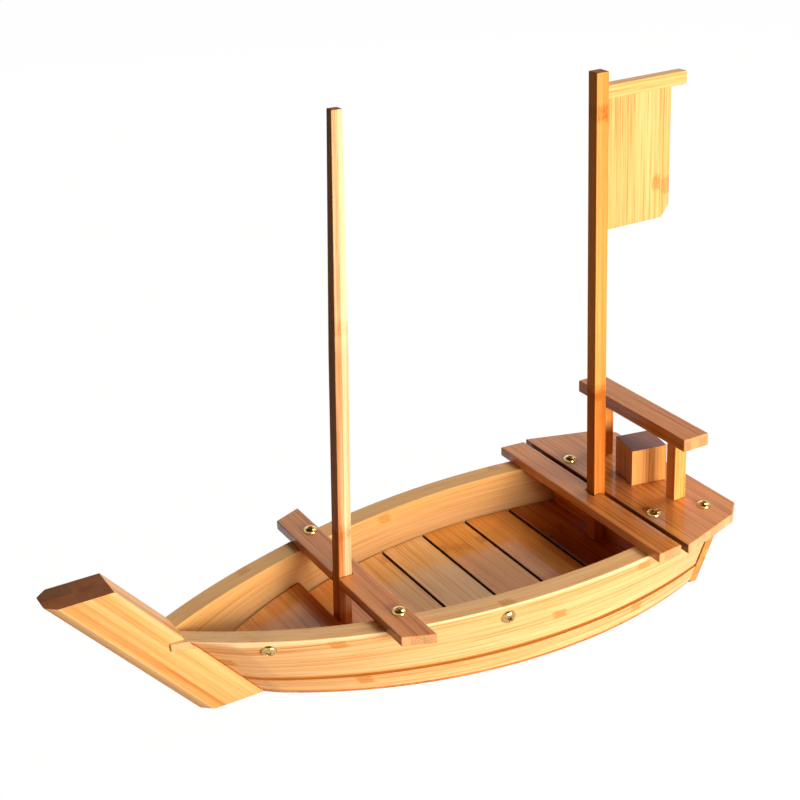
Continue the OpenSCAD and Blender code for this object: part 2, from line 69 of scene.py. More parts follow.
# The lap's outer edge: shares of its length, and of the way in to the stem
LAP_CURVE = ((0.5, 0.32), (0.85, 0.52), (0.96, 0.70), (1.0, 1.0))
TRANSOM_LIP, TRANSOM_FOOT_LIP = 1.5, 0.3
DECK_X, DECK_L, DECK_FRONT, DECK_SIDE, DECK_REAR, DECK_CUT = -153.4, 57.0, 87.0, 71.7, 61.1, 10.4
BULKHEAD_T, BULKHEAD_NECK = 12.0, 6.0
BOARD_T = 6.2
FORE_THWART_X, FORE_THWART_W, FORE_THWART_FRONT, FORE_THWART_REAR = 28.9, 18.5, 79.0, 86.9
AFT_THWART_W, AFT_THWART_FRONT, AFT_THWART_REAR, DECK_GAP = 17.5, 86.1, 84.5, 3.2
FLOOR_H, SLAT_T, SLAT_PITCH, SLAT_GAP, SLAT_SIDE_GAP, FIRST_SLAT_L = 20.5, 6.0, 32.5, 1.6, 0.4, 38.4
SLATS, SLAT_CUT_BACK, LAST_SLAT_GAP, SLOT_SLACK, SLOT_PAST_DECK = 6, 0.3, 0.3, 0.15, 5.0
BOW_DECK_H, BOW_DECK_X, BOW_DECK_TIP_GAP, BOW_DECK_TIP_HALF = 29.5, 42.7, 0.6, 0.8
BATTEN_Y, BATTEN_W, BATTEN_STEP_L, BATTEN_STEP_GAP, BATTEN_END_GAP = 14.0, 8.0, 10.0, 0.4, 1.0
MAST_L, MAST_W, MAST_FIT, AFT_SLACK, AFT_MAST_GAP = 8.4, 8.5, 0.5, 1.2, 0.3
FORE_MAST_X, FORE_MAST_H, FORE_RAKE, FORE_TIP_L, FORE_TIP_W = 33.1, 327.0, 2.9, 6.5, 5.7
AFT_MAST_H = 321.0
YARD_DROP, YARD_H, YARD_T, YARD_L = 16.0, 7.8, 7.4, 56.3
FLAG_T, FLAG_L, FLAG_DROP, FLAG_CUT_L, FLAG_CUT_H = 4.0, 46.5, 78.8, 5.6, 7.4
FLAG_TONGUE, FLAG_GAP = 2.0, 0.05
POST_S, POST_H, PORT_POST_Y, STARBOARD_POST_Y, POST_X = 8.6, 42.0, 34.3, 41.0, -185.2
RAIL_X, RAIL_W, RAIL_L, RAIL_T = -183.5, 18.6, 109.3, 8.1
BLOCK_S, BLOCK_H, BLOCK_TURN, BLOCK_Y = 24.2, 24.6, -11.2, -1.3
HEAD_D, HEAD_H, SHANK_D, SCREW_L, SIDE_SCREW_L, SIDE_SCREW_SINK = 9.0, 2.6, 3.2, 13.0, 9.0, 0.05
THWART_SCREW_Y, THWART_SCREW_BACK, DECK_SCREW_Y1, DECK_SCREW_Y2 = 55.7, 2.9, 44.7, 53.4
DECK_SCREW_BACK, TRANSOM_SCREW_BACK, TRANSOM_SCREW_DROP = 1.0, 0.2, 3.0
SIDE_SCREWS = [(98.0, 42.6), (-34.0, 39.0)]
RECESS_L, RECESS_W, RECESS_D = 5.2, 1.3, 1.6


# Numbers that live in a node tree
class Num:
    """A number in a node tree; sums of it become Math nodes."""

    def __init__(self, tree, out):
        self.tree, self.out = tree, out

    def math(self, kind, *rest):
        made = self.tree.nodes.new("ShaderNodeMath")
        made.operation = kind
        for socket, value in zip(made.inputs, (self, *rest)):
            feed(self.tree, socket, value)
        return Num(self.tree, made.outputs[0])

    def __add__(self, other):
        return self.math("ADD", other)

    __radd__ = __add__

    def __sub__(self, other):
        return self.math("SUBTRACT", other)

    def __rsub__(self, other):
        return self.math("MULTIPLY_ADD", -1.0, other)

    def __mul__(self, other):
        return self.math("MULTIPLY", other)

    __rmul__ = __mul__

    def __truediv__(self, other):
        return self.math("DIVIDE", other)


def feed(tree, socket, value):
    if isinstance(value, Num):
        tree.links.new(value.out, socket)
    else:
        socket.default_value = value


def connect(made, **sockets):
    """Fills a node's inputs; an underscore in an input's name is a space."""
    for key, value in sockets.items():
        feed(made.id_data, made.inputs[key.replace("_", " ")], value)


def add(tree, kind, props=None, **sockets):
    """One node with its settings and inputs."""
    made = tree.nodes.new(kind)
    for key, value in (props or {}).items():
        setattr(made, key, value)
    connect(made, **sockets)
    return made


def out(made, key=0):
    return Num(made.id_data, made.outputs[key])


def vec(tree, x, y, z):
    return out(add(tree, "ShaderNodeCombineXYZ", X=x, Y=y, Z=z))


def parts_of(tree, vector):
    made = add(tree, "ShaderNodeSeparateXYZ", Vector=vector)
    return [out(made, k) for k in range(3)]


def smaller(a, b):
    if isinstance(b, Num):
        a, b = b, a
    return a.math("MINIMUM", b) if isinstance(a, Num) else min(a, b)


def larger(a, b):
    if isinstance(b, Num):
        a, b = b, a
    return a.math("MAXIMUM", b) if isinstance(a, Num) else max(a, b)


def root(a):
    return a.math("SQRT") if isinstance(a, Num) else math.sqrt(a)


def power(a, e):
    return a.math("POWER", e) if isinstance(a, Num) else a ** e


# Hull rule, good for plain numbers and for node trees
class Lines:
    """The hull's lines from its named sizes."""

    def __init__(self, v):
        self.v = v
        self.stem_run = 1 / math.tan(math.radians(HULL["Stem Angle"]))
        self.rake_run = math.tan(math.radians(HULL["Transom Rake"]))

    def arc(self, x, apex, half, r):
        d = x - self.v[apex]
        return self.v[half] - self.v[r] + root(self.v[r] * self.v[r] - d * d)

    def top(self, x):
        return self.arc(x, "Gunwale Apex", "Half Beam", "Gunwale Radius")

    def low(self, x):
        return self.arc(x, "Bottom Apex", "Half Bottom", "Bottom Radius")

    def bow(self, z):
        return self.v["Stem Foot"] + z * self.stem_run - SEAT_GAP

    def stern(self, z):
        thick = self.v["Transom Thickness"] / math.cos(math.radians(HULL["Transom Rake"]))
        return self.v["Transom Foot"] + thick - z * self.rake_run + SEAT_GAP

    def sheer(self, x):
        run = self.bow(self.v["Gunwale Height"]) + SEAT_GAP - self.v["Sheer Start"]
        rise = power(larger((x - self.v["Sheer Start"]) / run, 0.0), SHEER_POWER)
        return self.v["Gunwale Height"] + self.v["Sheer Rise"] * rise

    def facet(self, x):
        mid = (self.v["Stem Foot"] + self.v["Transom Foot"]) / 2 + FACET_AHEAD
        d = (x - mid) / FACET_REACH
        return self.v["Facet Middle"] + (self.v["Facet End"] - self.v["Facet Middle"]) * (d * d)

    def side(self, x, z):
        a = self.sheer(x) - self.facet(x)
        return self.top(x) + (self.low(x) - self.top(x)) * ((a - smaller(z, a)) / a)

    def outer(self, x, z):
        lip = self.v["Stem Width"] / 2 - STEM_LIP + (self.bow(z) - x) * PARE
        return smaller(self.side(x, z), lip)

    def wall(self, z):
        """Level thickness of the planks, less towards the foot."""
        share = 1 - smaller(z / self.v["Gunwale Height"], 1.0)
        return self.v["Plank Thickness"] - self.v["Plank Taper"] * share

    def inner(self, x, z):
        return larger(self.side(x, z) - self.wall(z), HALF_GAP)


lines = Lines(HULL)
GUNWALE = HULL["Gunwale Height"]
THWART_TOP = GUNWALE + BOARD_T
STEM_TIP = HULL["Stem Foot"] + STEM_D / math.sin(math.radians(HULL["Stem Angle"])) + STEM_H * lines.stem_run
MID_X = (STEM_TIP + DECK_X - DECK_L) / 2
AFT_MAST_REAR = DECK_X + AFT_MAST_GAP
YARD_Z = AFT_MAST_H - YARD_DROP
SLAT_CUTS = [DECK_X + SLAT_PITCH * (i + 1) - SLAT_CUT_BACK for i in range(SLATS - 1)]
FLOOR_FRONT = SLAT_CUTS[-1] + SLAT_GAP / 2 + FIRST_SLAT_L


def metres(x, y, z):
    """A place on the boat in millimetres, as metres from the middle of its length."""
    return (x - MID_X) * MM, y * MM, z * MM


def new_object(name, data):
    obj = bpy.data.objects.new(name, data)
    scene.collection.objects.link(obj)
    return obj


# Camera at the photograph's viewing angle: turned from port to the bow, raised and rolled, in degrees
CAMERA_TURN, CAMERA_RISE, CAMERA_ROLL = 28.33, 24.55, -2.82
CAMERA_AT = (0.3800, 0.7253, 0.5292)
FOCAL_PX, PICTURE_PX, SENSOR = 1585.22, 800, 36


def make_camera():
    az, el, roll = (math.radians(v) for v in (CAMERA_TURN, CAMERA_RISE, CAMERA_ROLL))
    back = Vector((math.sin(az) * math.cos(el), math.cos(az) * math.cos(el), math.sin(el)))
    right = Vector((-math.cos(az), math.sin(az), 0))
    up = back.cross(right)
    across = right * math.cos(roll) + up * math.sin(roll)
    upward = up * math.cos(roll) - right * math.sin(roll)
    data = bpy.data.cameras.new("camera")
    data.sensor_width = SENSOR
    data.lens = FOCAL_PX / PICTURE_PX * SENSOR
    data.clip_start, data.clip_end = 0.01, 50
    place = Matrix((across, upward, back)).transposed().to_4x4()
    place.translation = Vector(CAMERA_AT)
    scene.camera = new_object("camera", data)
    scene.camera.matrix_world = place


make_camera()


# Materials
def ramp(tree, fac, stops):
    made = add(tree, "ShaderNodeValToRGB", Fac=fac)
    bar = made.color_ramp
    while len(bar.elements) < len(stops):
        bar.elements.new(0.5)
    for slot, (at, colour) in zip(bar.elements, stops):
        slot.position = at
        slot.color = (*colour, 1)
    return out(made)


def noise(tree, vector, detail, rough):
    made = add(tree, "ShaderNodeTexNoise", Vector=vector, Scale=1.0, Detail=detail, Roughness=rough)
    return out(made)


def fade(tree, value, start, end):
    """0 at start and 1 at end, with soft shoulders."""
    made = add(tree, "ShaderNodeMapRange", {"interpolation_type": "SMOOTHSTEP"},
               Value=value, From_Min=start, From_Max=end, To_Min=0.0, To_Max=1.0)
    return out(made)


def mix(tree, fac, a, b):
    made = add(tree, "ShaderNodeMix", {"data_type": "RGBA"})
    feed(tree, made.inputs[0], fac)
    for socket, value in ((made.inputs[6], a), (made.inputs[7], b)):
        feed(tree, socket, value if isinstance(value, Num) else (*value, 1))
    return out(made, 2)


def stored(tree, name, key="Fac"):
    """What the mesh keeps under this name."""
    return out(add(tree, "ShaderNodeAttribute", {"attribute_name": name}), key)


def new_material(name):
    m = bpy.data.materials.new(name)
    m.use_nodes = True
    return m, m.node_tree, m.node_tree.nodes["Principled BSDF"]


def bamboo(name, dark, mid, light, end=(0.30, 0.13, 0.06), shade_colour=(0.62, 0.28, 0.05), strip=0.006, ply=0.007,
           strips=0.3, step=0.0, flame=0.4, streaks=0.7, pencil=0.3, node_gap=0.21, node_at=0.0, stray=1.0,
           nodes=0.5, marked=99, marks=0.42, ends=0.4, foot=0.0, gloss=0.3, shine=0.3, coat=0.0, seed=0.0):
    """Laminated bamboo: strips of their own tone, fibres along the grain, speckled node marks, a varnish, painted
    shade and a painted highlight.

    A strip is strip wide and ply thick, in metres. Its own tone, its place in the row, broad drifts, streaks and
    thin dark lines count by strips, step, flame, streaks and pencil. Nodes lie node_gap apart, one at node_at,
    moved by stray; nodes is the share of strips that show them, among the first few where marked says so.
    """
    m, t, shader = new_material(name)
    on_end = stored(t, "end")
    a, b, c = parts_of(t, stored(t, "grain", "Vector"))
    sb, sc = b / strip, c / ply
    ib, ic = sb.math("FLOOR"), sc.math("FLOOR")
    fb, fc = sb.math("FRACT"), sc.math("FRACT")
    white = add(t, "ShaderNodeTexWhiteNoise", {"noise_dimensions": "3D"}, Vector=vec(t, ib, ic, seed))
    tone = out(white, "Value")
    pick, shift, _ = parts_of(t, out(white, "Color"))
    edge_b = smaller(fb, 1 - fb) * strip
    edge_c = smaller(fc, 1 - fc) * ply
    joint = 1 - fade(t, smaller(edge_b, edge_c), 0.00005, 0.00035)

    def grained(along, across, detail, rough, start=0.0):
        """Noise drawn out along the grain, in cells per metre along and across it."""
        return noise(t, vec(t, a * along + start, b * across, c * across), detail, rough)

    drift = shift * 37
    broad = grained(2.5, 130, 2, 0.5, seed)
    streak = grained(7, 620, 3, 0.65, drift)
    fibre = grained(40, 2300, 2, 0.6, drift)
    thin = fade(t, grained(11, 1200, 2, 0.6, drift), 0.46, 0.66)
    fleck = fade(t, grained(130, 3400, 1, 0.5, drift), 0.60, 0.70)

    # A node mark is a ragged, speckled band that fades towards the strip's edges
    knot = (((a - node_at) / node_gap + shift * stray + 0.5).math("FRACT") - 0.5).math("ABSOLUTE") * node_gap
    ragged = noise(t, vec(t, a * 150, b * 450, c * 450 + seed), 2, 0.6)
    band = (1 - fade(t, knot + (ragged - 0.5) * 0.005, 0.0022, 0.0066)) * (1 - fade(t, pick, nodes - 0.02, nodes))
    band = band * (1 - fade(t, (fb - 0.5).math("ABSOLUTE"), 0.34, 0.53))
    band = band * (1 - fade(t, ib, marked - 0.6, marked - 0.4))
    speck = fade(t, grained(900, 1300, 3, 0.7), 0.40, 0.60)
    mark = band * (speck + 0.18)

    value = (tone - 0.5) * strips + ib * step + (broad - 0.5) * flame + (streak - 0.5) * streaks
    value = value + (fibre - 0.5) * 0.3 + 0.5
    # The thin lines cover about a third, so taking that off keeps the mean tone
    value = value - fleck * 0.08 - joint * 0.12 - mark * marks - (thin - 0.33) * pencil
    # Painted shade: the length below the first node is darkened by foot, for the shade that lies low on the masts
    value = value - (1 - fade(t, a, node_at - 0.002, node_at + 0.002)) * foot
    face = ramp(t, value, [(0.05, dark), (0.48, mid), (0.95, light)])
    pores = grained(20, 1500, 2, 0.6)
    cut = (tone - 0.5) * ends + (pores - 0.5) * 0.9 + (broad - 0.5) * 0.4 + 0.5 - joint * 0.25
    heart = ramp(t, cut, [(0.1, tuple(x * 0.62 for x in end)), (0.9, tuple(x * 1.35 for x in end))])
    colour = mix(t, on_end, face, heart)
    # Painted shade: faces that look into seams, gaps and recesses, the plank's inner face and the gunwale's top are
    # darkened towards the shade colour; on the strake's lap over the stem it only deepens the tone
    colour = mix(t, stored(t, "seam") * 0.9, colour, shade_colour)
    # Painted highlight: the gunwale's facet is made paler
    colour = mix(t, stored(t, "planed") * 0.7, colour, light)
    rough = (fibre - 0.5) * 0.16 + (streak - 0.5) * 0.1 + gloss + mark * 0.08 + on_end * 0.1
    relief = fibre * 0.5 + streak * 0.5 - joint * 0.8 - fleck * 0.3
    bump = add(t, "ShaderNodeBump", Strength=0.2, Distance=0.0001, Height=relief)
    connect(shader, Base_Color=colour, Roughness=rough, Coat_Weight=coat, Coat_Roughness=0.07,
            Specular_IOR_Level=shine, Normal=out(bump))
    return m


def brass_material():
    m, t, shader = new_material("polished_brass")
    place = out(add(t, "ShaderNodeTexCoord"), "Object")
    tarnish_and_dark_reflection = noise(t, out(add(t, "ShaderNodeMapping", Vector=place, Scale=(420, 420, 420))), 3, 0.6)
    fine = noise(t, out(add(t, "ShaderNodeMapping", Vector=place, Scale=(2600, 2600, 2600))), 2, 0.5)
    # Painted reflection: the brass is darker than bare brass, standing in for the dark room that it reflects; the
    # noise makes it patchy
    colour = ramp(t, tarnish_and_dark_reflection, [(0.25, (0.36, 0.22, 0.07)), (0.55, (0.62, 0.42, 0.15)), (0.85, (0.79, 0.60, 0.28))])
    bump = add(t, "ShaderNodeBump", Strength=0.15, Distance=0.00005, Height=fine)
    connect(shader, Base_Color=colour, Roughness=tarnish_and_dark_reflection * 0.12 + fine * 0.06 + 0.10, Metallic=1.0, Normal=out(bump))
    return m


# What the deck and rail boards share, and what the spars share
BOARD_GRAIN = dict(strip=0.0068, ply=0.0063, strips=0.14, flame=0.3, streaks=0.8, pencil=0.46, nodes=0.0, gloss=0.24)
SPAR = dict(end=(0.30, 0.10, 0.035), gloss=0.36, shine=0.02)
HULL_WOOD = bamboo(
    "hull_bamboo", (0.62, 0.25, 0.06), (0.90, 0.495, 0.20), (0.97, 0.685, 0.37), end=(0.60, 0.28, 0.07),
    strip=0.0065, ply=0.0072, strips=0.25, flame=0.35, marks=0.58, gloss=0.32, shine=0.09, seed=3.0)
STEM_WOOD = bamboo(
    "stem_bamboo", (0.54, 0.19, 0.04), (0.83, 0.385, 0.12), (0.94, 0.58, 0.25), end=(0.21, 0.048, 0.012),
    strip=0.0145, ply=0.0122, strips=0.2, flame=1.5, streaks=0.8, pencil=0.12, nodes=0.0, ends=1.0,
    gloss=0.38, shine=0.06, seed=8.0)
DECK_WOOD = bamboo(
    "deck_bamboo", (0.46, 0.13, 0.02), (0.75, 0.255, 0.052), (0.85, 0.37, 0.11), end=(0.66, 0.32, 0.12),
    shade_colour=(0.05, 0.015, 0.004), shine=0.10, coat=0.52, seed=11.0, **BOARD_GRAIN)
RAIL_WOOD = bamboo(
    "rail_bamboo", (0.40, 0.10, 0.012), (0.62, 0.20, 0.038), (0.72, 0.29, 0.075), end=(0.62, 0.30, 0.11),
    shine=0.08, coat=0.3, seed=12.0, **BOARD_GRAIN)
KEEL_WOOD = bamboo(
    "keel_bamboo", (0.38, 0.10, 0.015), (0.56, 0.19, 0.035), (0.70, 0.30, 0.07), end=(0.45, 0.16, 0.04),
    nodes=0.0, gloss=0.34, shine=0.2, seed=13.0)
MAST_WOOD = bamboo(
    "mast_bamboo", (0.46, 0.12, 0.015), (0.80, 0.29, 0.058), (0.92, 0.50, 0.17), strip=0.0090, ply=0.0090,
    strips=0.0, flame=0.35, pencil=0.08, node_gap=0.174, node_at=0.1235, stray=0.0, nodes=1.1, marks=0.36,
    foot=0.34, seed=17.0, **SPAR)
POST_WOOD = bamboo(
    "post_bamboo", (0.42, 0.08, 0.006), (0.76, 0.22, 0.03), (0.92, 0.46, 0.14), strip=0.0044, ply=0.0090,
    strips=0.25, step=0.08, flame=0.35, nodes=0.0, seed=19.0, **SPAR)
YARD_WOOD = bamboo(
    "yard_bamboo", (0.56, 0.20, 0.04), (0.86, 0.44, 0.14), (0.94, 0.64, 0.29), end=(0.60, 0.30, 0.10),
    strip=0.0090, ply=0.0090, strips=0.0, streaks=0.8, nodes=0.0, gloss=0.36, shine=0.03, seed=21.0)
FORE_MAST_WOOD = bamboo(
    "fore_mast_bamboo", (0.48, 0.13, 0.018), (0.94, 0.585, 0.30), (0.98, 0.90, 0.72), strip=0.0043,
    ply=0.0087, strips=0.05, step=-0.2, flame=0.3, streaks=0.5, pencil=0.06, node_gap=0.125, node_at=0.029,
    stray=0.0, nodes=1.1, marks=0.12, foot=0.1, seed=18.0, **SPAR)
FLAG_WOOD = bamboo(
    "flag_bamboo", (0.62, 0.25, 0.055), (0.86, 0.43, 0.14), (0.93, 0.58, 0.23),
    strip=0.0066, ply=0.0041, strips=0.25, flame=0.3, streaks=1.1, pencil=0.45, node_gap=0.4, node_at=0.2535,
    stray=0.03, nodes=1.1, marked=2, marks=0.65, gloss=0.34, shine=0.12, seed=24.0)
BLOCK_WOOD = bamboo(
    "block_bamboo", (0.44, 0.14, 0.018), (0.78, 0.34, 0.085), (0.92, 0.58, 0.24), end=(0.23, 0.088, 0.056),
    strip=0.0049, ply=0.0243, strips=0.15, flame=0.5, nodes=0.0, ends=0.6, gloss=0.26, shine=0.12, coat=0.1,
    seed=29.0)
# Each slat's own tones; the last slat's are darker as painted shade, for the shade under the aft thwart and deck
SLAT_TONES_AND_SHADE = [
    ((0.56, 0.16, 0.02), (0.78, 0.29, 0.05), (0.88, 0.42, 0.10)),
    ((0.64, 0.24, 0.055), (0.86, 0.44, 0.13), (0.93, 0.58, 0.22)),
    ((0.68, 0.28, 0.07), (0.90, 0.49, 0.17), (0.95, 0.64, 0.29)),
    ((0.60, 0.19, 0.022), (0.83, 0.33, 0.055), (0.91, 0.47, 0.12)),
    ((0.56, 0.16, 0.018), (0.78, 0.28, 0.045), (0.88, 0.42, 0.09)),
    ((0.44, 0.10, 0.006), (0.64, 0.19, 0.018), (0.76, 0.30, 0.05)),
]
# Where each slat shows a node, from the middle to port, and how far apart the slats lie in one long grain
SLAT_NODES = (0.02, -0.045, 0.2, -0.030, 0.034, -0.012)
SLAT_GRAIN_STEP = 0.37
SLAT_WOODS = [
    bamboo("slat_bamboo_%d" % (i + 1), *tones, shade_colour=(0.035, 0.010, 0.003), strip=0.0062, ply=0.0061, strips=0.18,
           streaks=0.8, pencil=0.38, node_gap=0.5, node_at=SLAT_GRAIN_STEP * i + SLAT_NODES[i], stray=0.02,
           nodes=0.8, marks=0.5, gloss=0.24, shine=0.25, coat=0.4, seed=31.0 + i)
    for i, tones in enumerate(SLAT_TONES_AND_SHADE)]
BRASS = brass_material()


# Edges are eased, and shading stays sharp, where faces meet at more than this many degrees
EASED_ABOVE, SHARP_ABOVE, BRASS_SHARP_ABOVE = 20, 50, 35
# Keeps faces that lie just where two strips meet on one side of the joint, in metres
GRAIN_SHIFT = 0.00005
# A face counts as cut across the grain from this cosine on, and fully this much later
END_FROM, END_SPAN = 0.55, 0.25
# Each board's place in one long grain in metres, its edges' rounding in millimetres, and its slot
DARK, PALE = "dark_bamboo", "bamboo"
BOARDS = {
    "bottom_board": (2.2, 0.3, PALE), "stem_post": (0.1, 0.3, DARK), "transom": (3.1, 0.5, PALE),
    "aft_bulkhead": (4.3, 0.4, PALE), "bow_deck": (6.4, 0.5, PALE),
    "port_batten": (6.0, 0.4, DARK), "starboard_batten": (4.0, 0.4, DARK),
    "fore_thwart": (7.5, 0.7, DARK), "aft_thwart": (8.6, 0.7, DARK), "stern_deck": (9.7, 0.7, DARK),
    "port_rail_post": (11.3, 0.45, PALE), "starboard_rail_post": (9.3, 0.45, PALE), "rail_bar": (12.1, 0.7, DARK),
    "deck_block": (13.2, 0.5, PALE), "fore_mast": (0.0, 0.45, DARK), "aft_mast": (0.0, 0.45, DARK),
    "flag_yard": (16.2, 0.45, DARK), "flag_board": (0.0, 0.4, PALE),
}
X, Y, Z = (1, 0, 0), (0, 1, 0), (0, 0, 1)
SIDES = ((1.0, "port"), (-1.0, "starboard"))


# Pieces
def settle(obj):
    """Turns what the modifiers make into a plain mesh and removes them."""
    graph = bpy.context.evaluated_depsgraph_get()
    made = bpy.data.meshes.new_from_object(obj.evaluated_get(graph))
    old = obj.data
    obj.modifiers.clear()
    obj.data = made
    bpy.data.meshes.remove(old)
    made.name = obj.name
    return obj


def loft(loops):
    """Closed solid through loops of points in millimetres, all with the same count."""
    bm = bmesh.new()
    rows = [[bm.verts.new(metres(*place)) for place in loop] for loop in loops]
    n = len(rows[0])
    for low, high in zip(rows, rows[1:]):
        for k in range(n):
            bm.faces.new((low[k], low[(k + 1) % n], high[(k + 1) % n], high[k]))
    bm.faces.new(rows[0])
    bm.faces.new(rows[-1])
    bmesh.ops.recalc_face_normals(bm, faces=bm.faces)
    mesh = bpy.data.meshes.new("loft")
    bm.to_mesh(mesh)
    bm.free()
    return mesh


def smooth(mesh, sharp_above=None):
    for face in mesh.polygons:
        face.use_smooth = True
    if sharp_above:
        mesh.set_sharp_from_angle(angle=math.radians(sharp_above))


def ease(obj, width):
    """Rounds the edges a little, with normals that keep the faces flat."""
    bevel = obj.modifiers.new("eased edges", "BEVEL")
    bevel.width = width * MM
    bevel.segments = 3
    bevel.limit_method = "ANGLE"
    bevel.angle_limit = math.radians(EASED_ABOVE)
    smooth(obj.data)
    obj.modifiers.new("flat faces", "WEIGHTED_NORMAL").keep_sharp = False
    return settle(obj)


def points_of(mesh):
    places = np.empty(len(mesh.vertices) * 3)
    mesh.vertices.foreach_get("co", places)
    return places.reshape(-1, 3)


def write(mesh, name, values, kind="FLOAT", domain="POINT"):
    key = "vector" if kind == "FLOAT_VECTOR" else "value"
    mesh.attributes.new(name, kind, domain).data.foreach_set(key, values)


def set_grain(obj, along, across, through, origin=(0, 0, 0), start=0.0):
    """Writes where each point lies along, across and through the wood, and which faces cut across the grain."""
    mesh = obj.data
    axes = np.array([Vector(v).normalized() for v in (along, across, through)])
    grain = (points_of(mesh) - np.array(metres(*origin))) @ axes.T + GRAIN_SHIFT
    grain[:, 0] += start
    write(mesh, "grain", grain.ravel(), "FLOAT_VECTOR")
    normals = np.empty(len(mesh.polygons) * 3)
    mesh.polygons.foreach_get("normal", normals)
    cut = np.abs(normals.reshape(-1, 3) @ axes[0])
    write(mesh, "end", np.clip((cut - END_FROM) / END_SPAN, 0, 1), domain="FACE")


def paint_gap_shade(obj, apart):
    """Paints shade on the faces that look into a narrow gap; apart gives each point's distance from them in
    millimetres.
    """
    x, y, z = points_of(obj.data).T / MM
    near = np.abs(apart(x + MID_X, y, z))
    # Painted shade, full up to a tenth of a millimetre away, nothing from half a millimetre on
    write(obj.data, "seam", np.clip(1.25 - near / 0.4, 0, 1))


def hand_in(obj, node, material, body="hull"):
    """Gives a finished piece its material, hangs it on its body and hides the model's node that it dresses."""
    obj.data.materials.clear()
    obj.data.materials.append(material)
    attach(obj, body)
    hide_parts(node)


def board(name, loops, material, along, across, through, origin, body="hull"):
    start, edge, slot = BOARDS[name]
    obj = ease(new_object(name + "_wood", loft(loops)), edge)
    set_grain(obj, along, across, through, origin, start)
    hand_in(obj, name, material, body)
    return obj


def mirrored(port):
    """The port half of an outline with its starboard half."""
    return port + [(x, -y) for x, y in reversed(port)]


def plan(points, z0, z1):
    return [[(x, y, z0) for x, y in points], [(x, y, z1) for x, y in points]]


def box(x0, x1, y0, y1, z0, z1):
    return plan([(x0, y0), (x1, y0), (x1, y1), (x0, y1)], z0, z1)


def profile(points, y0, y1):
    return [[(x, y0, z) for x, z in points], [(x, y1, z) for x, z in points]]


# Node trees for what is swept or repeated
def new_tree(name, inputs):
    """Empty tree with a geometry input, named number inputs and a material; returns the tree and its inputs."""
    t = bpy.data.node_groups.new(name, "GeometryNodeTree")
    t.interface.new_socket("Geometry", in_out="INPUT", socket_type="NodeSocketGeometry")
    for key, value in inputs.items():
        kind = {bool: "NodeSocketBool", int: "NodeSocketInt"}.get(type(value), "NodeSocketFloat")
        t.interface.new_socket(key, in_out="INPUT", socket_type=kind).default_value = value
    t.interface.new_socket("Material", in_out="INPUT", socket_type="NodeSocketMaterial")
    t.interface.new_socket("Geometry", in_out="OUTPUT", socket_type="NodeSocketGeometry")
    entry = t.nodes.new("NodeGroupInput")
    return t, {s.name: Num(t, s) for s in entry.outputs if s.name}


def close_tree(t, geometry, material):
    real = add(t, "GeometryNodeRealizeInstances", Geometry=geometry)
    dressed = add(t, "GeometryNodeSetMaterial", Geometry=out(real), Material=material)
    done = t.nodes.new("NodeGroupOutput")
    t.links.new(dressed.outputs[0], done.inputs[0])


def run_tree(obj, tree, material, **values):
    mod = obj.modifiers.new(tree.name, "NODES")
    mod.node_group = tree
    ids = {s.name: s.identifier for s in tree.interface.items_tree if s.in_out == "INPUT"}
    for key, value in values.items():
        mod[ids[key.replace("_", " ")]] = value
    mod[ids["Material"]] = material
    return settle(obj)


def keep(t, geometry, name, value, kind="FLOAT_VECTOR"):
    made = add(t, "GeometryNodeStoreNamedAttribute", {"data_type": kind, "domain": "POINT"},
               Geometry=geometry, Name=name)
    feed(t, made.inputs["Value"], value)
    return out(made)


def recall(t, name, kind="FLOAT_VECTOR"):
    return out(add(t, "GeometryNodeInputNamedAttribute", {"data_type": kind}, Name=name))


def placed(t, geometry, place):
    return out(add(t, "GeometryNodeSetPosition", Geometry=geometry, Position=place))


def moved(t, geometry, **how):
    return out(add(t, "GeometryNodeTransform", Geometry=geometry, **how))


def cut_away(t, mesh, tool, crossed=False):
    """A mesh less a tool; crossed says that the tool cuts through itself."""
    cut = add(t, "GeometryNodeMeshBoolean", {"operation": "DIFFERENCE", "solver": "EXACT"},
              Mesh_1=mesh, Mesh_2=tool, Self_Intersection=crossed)
    return out(cut)


def join(t, *parts):
    whole = t.nodes.new("GeometryNodeJoinGeometry")
    for part in parts:
        feed(t, whole.inputs[0], part)
    return out(whole)


def sweep(t, section, rows):
    """A section curve carried along a line; each point keeps its section place and its share of the line."""
    section = keep(t, section, "section", out(add(t, "GeometryNodeInputPosition")))
    line = out(add(t, "GeometryNodeMeshLine", Count=rows, Offset=(0.001, 0, 0)))
    share = out(add(t, "GeometryNodeInputIndex")) / (rows - 1.0)
    line = out(add(t, "GeometryNodeMeshToCurve", Mesh=keep(t, line, "share", share, "FLOAT")))
    return out(add(t, "GeometryNodeCurveToMesh", Curve=line, Profile_Curve=section, Fill_Caps=True))


# A strake's length in metres, and how far the two sides and the two rows lie apart in one long grain
STRAKE_L, SIDE_GRAIN, UPPER_GRAIN = 0.345, 0.9, 0.31
# How deep a strake's outer skin is, in millimetres
SKIN = 0.6


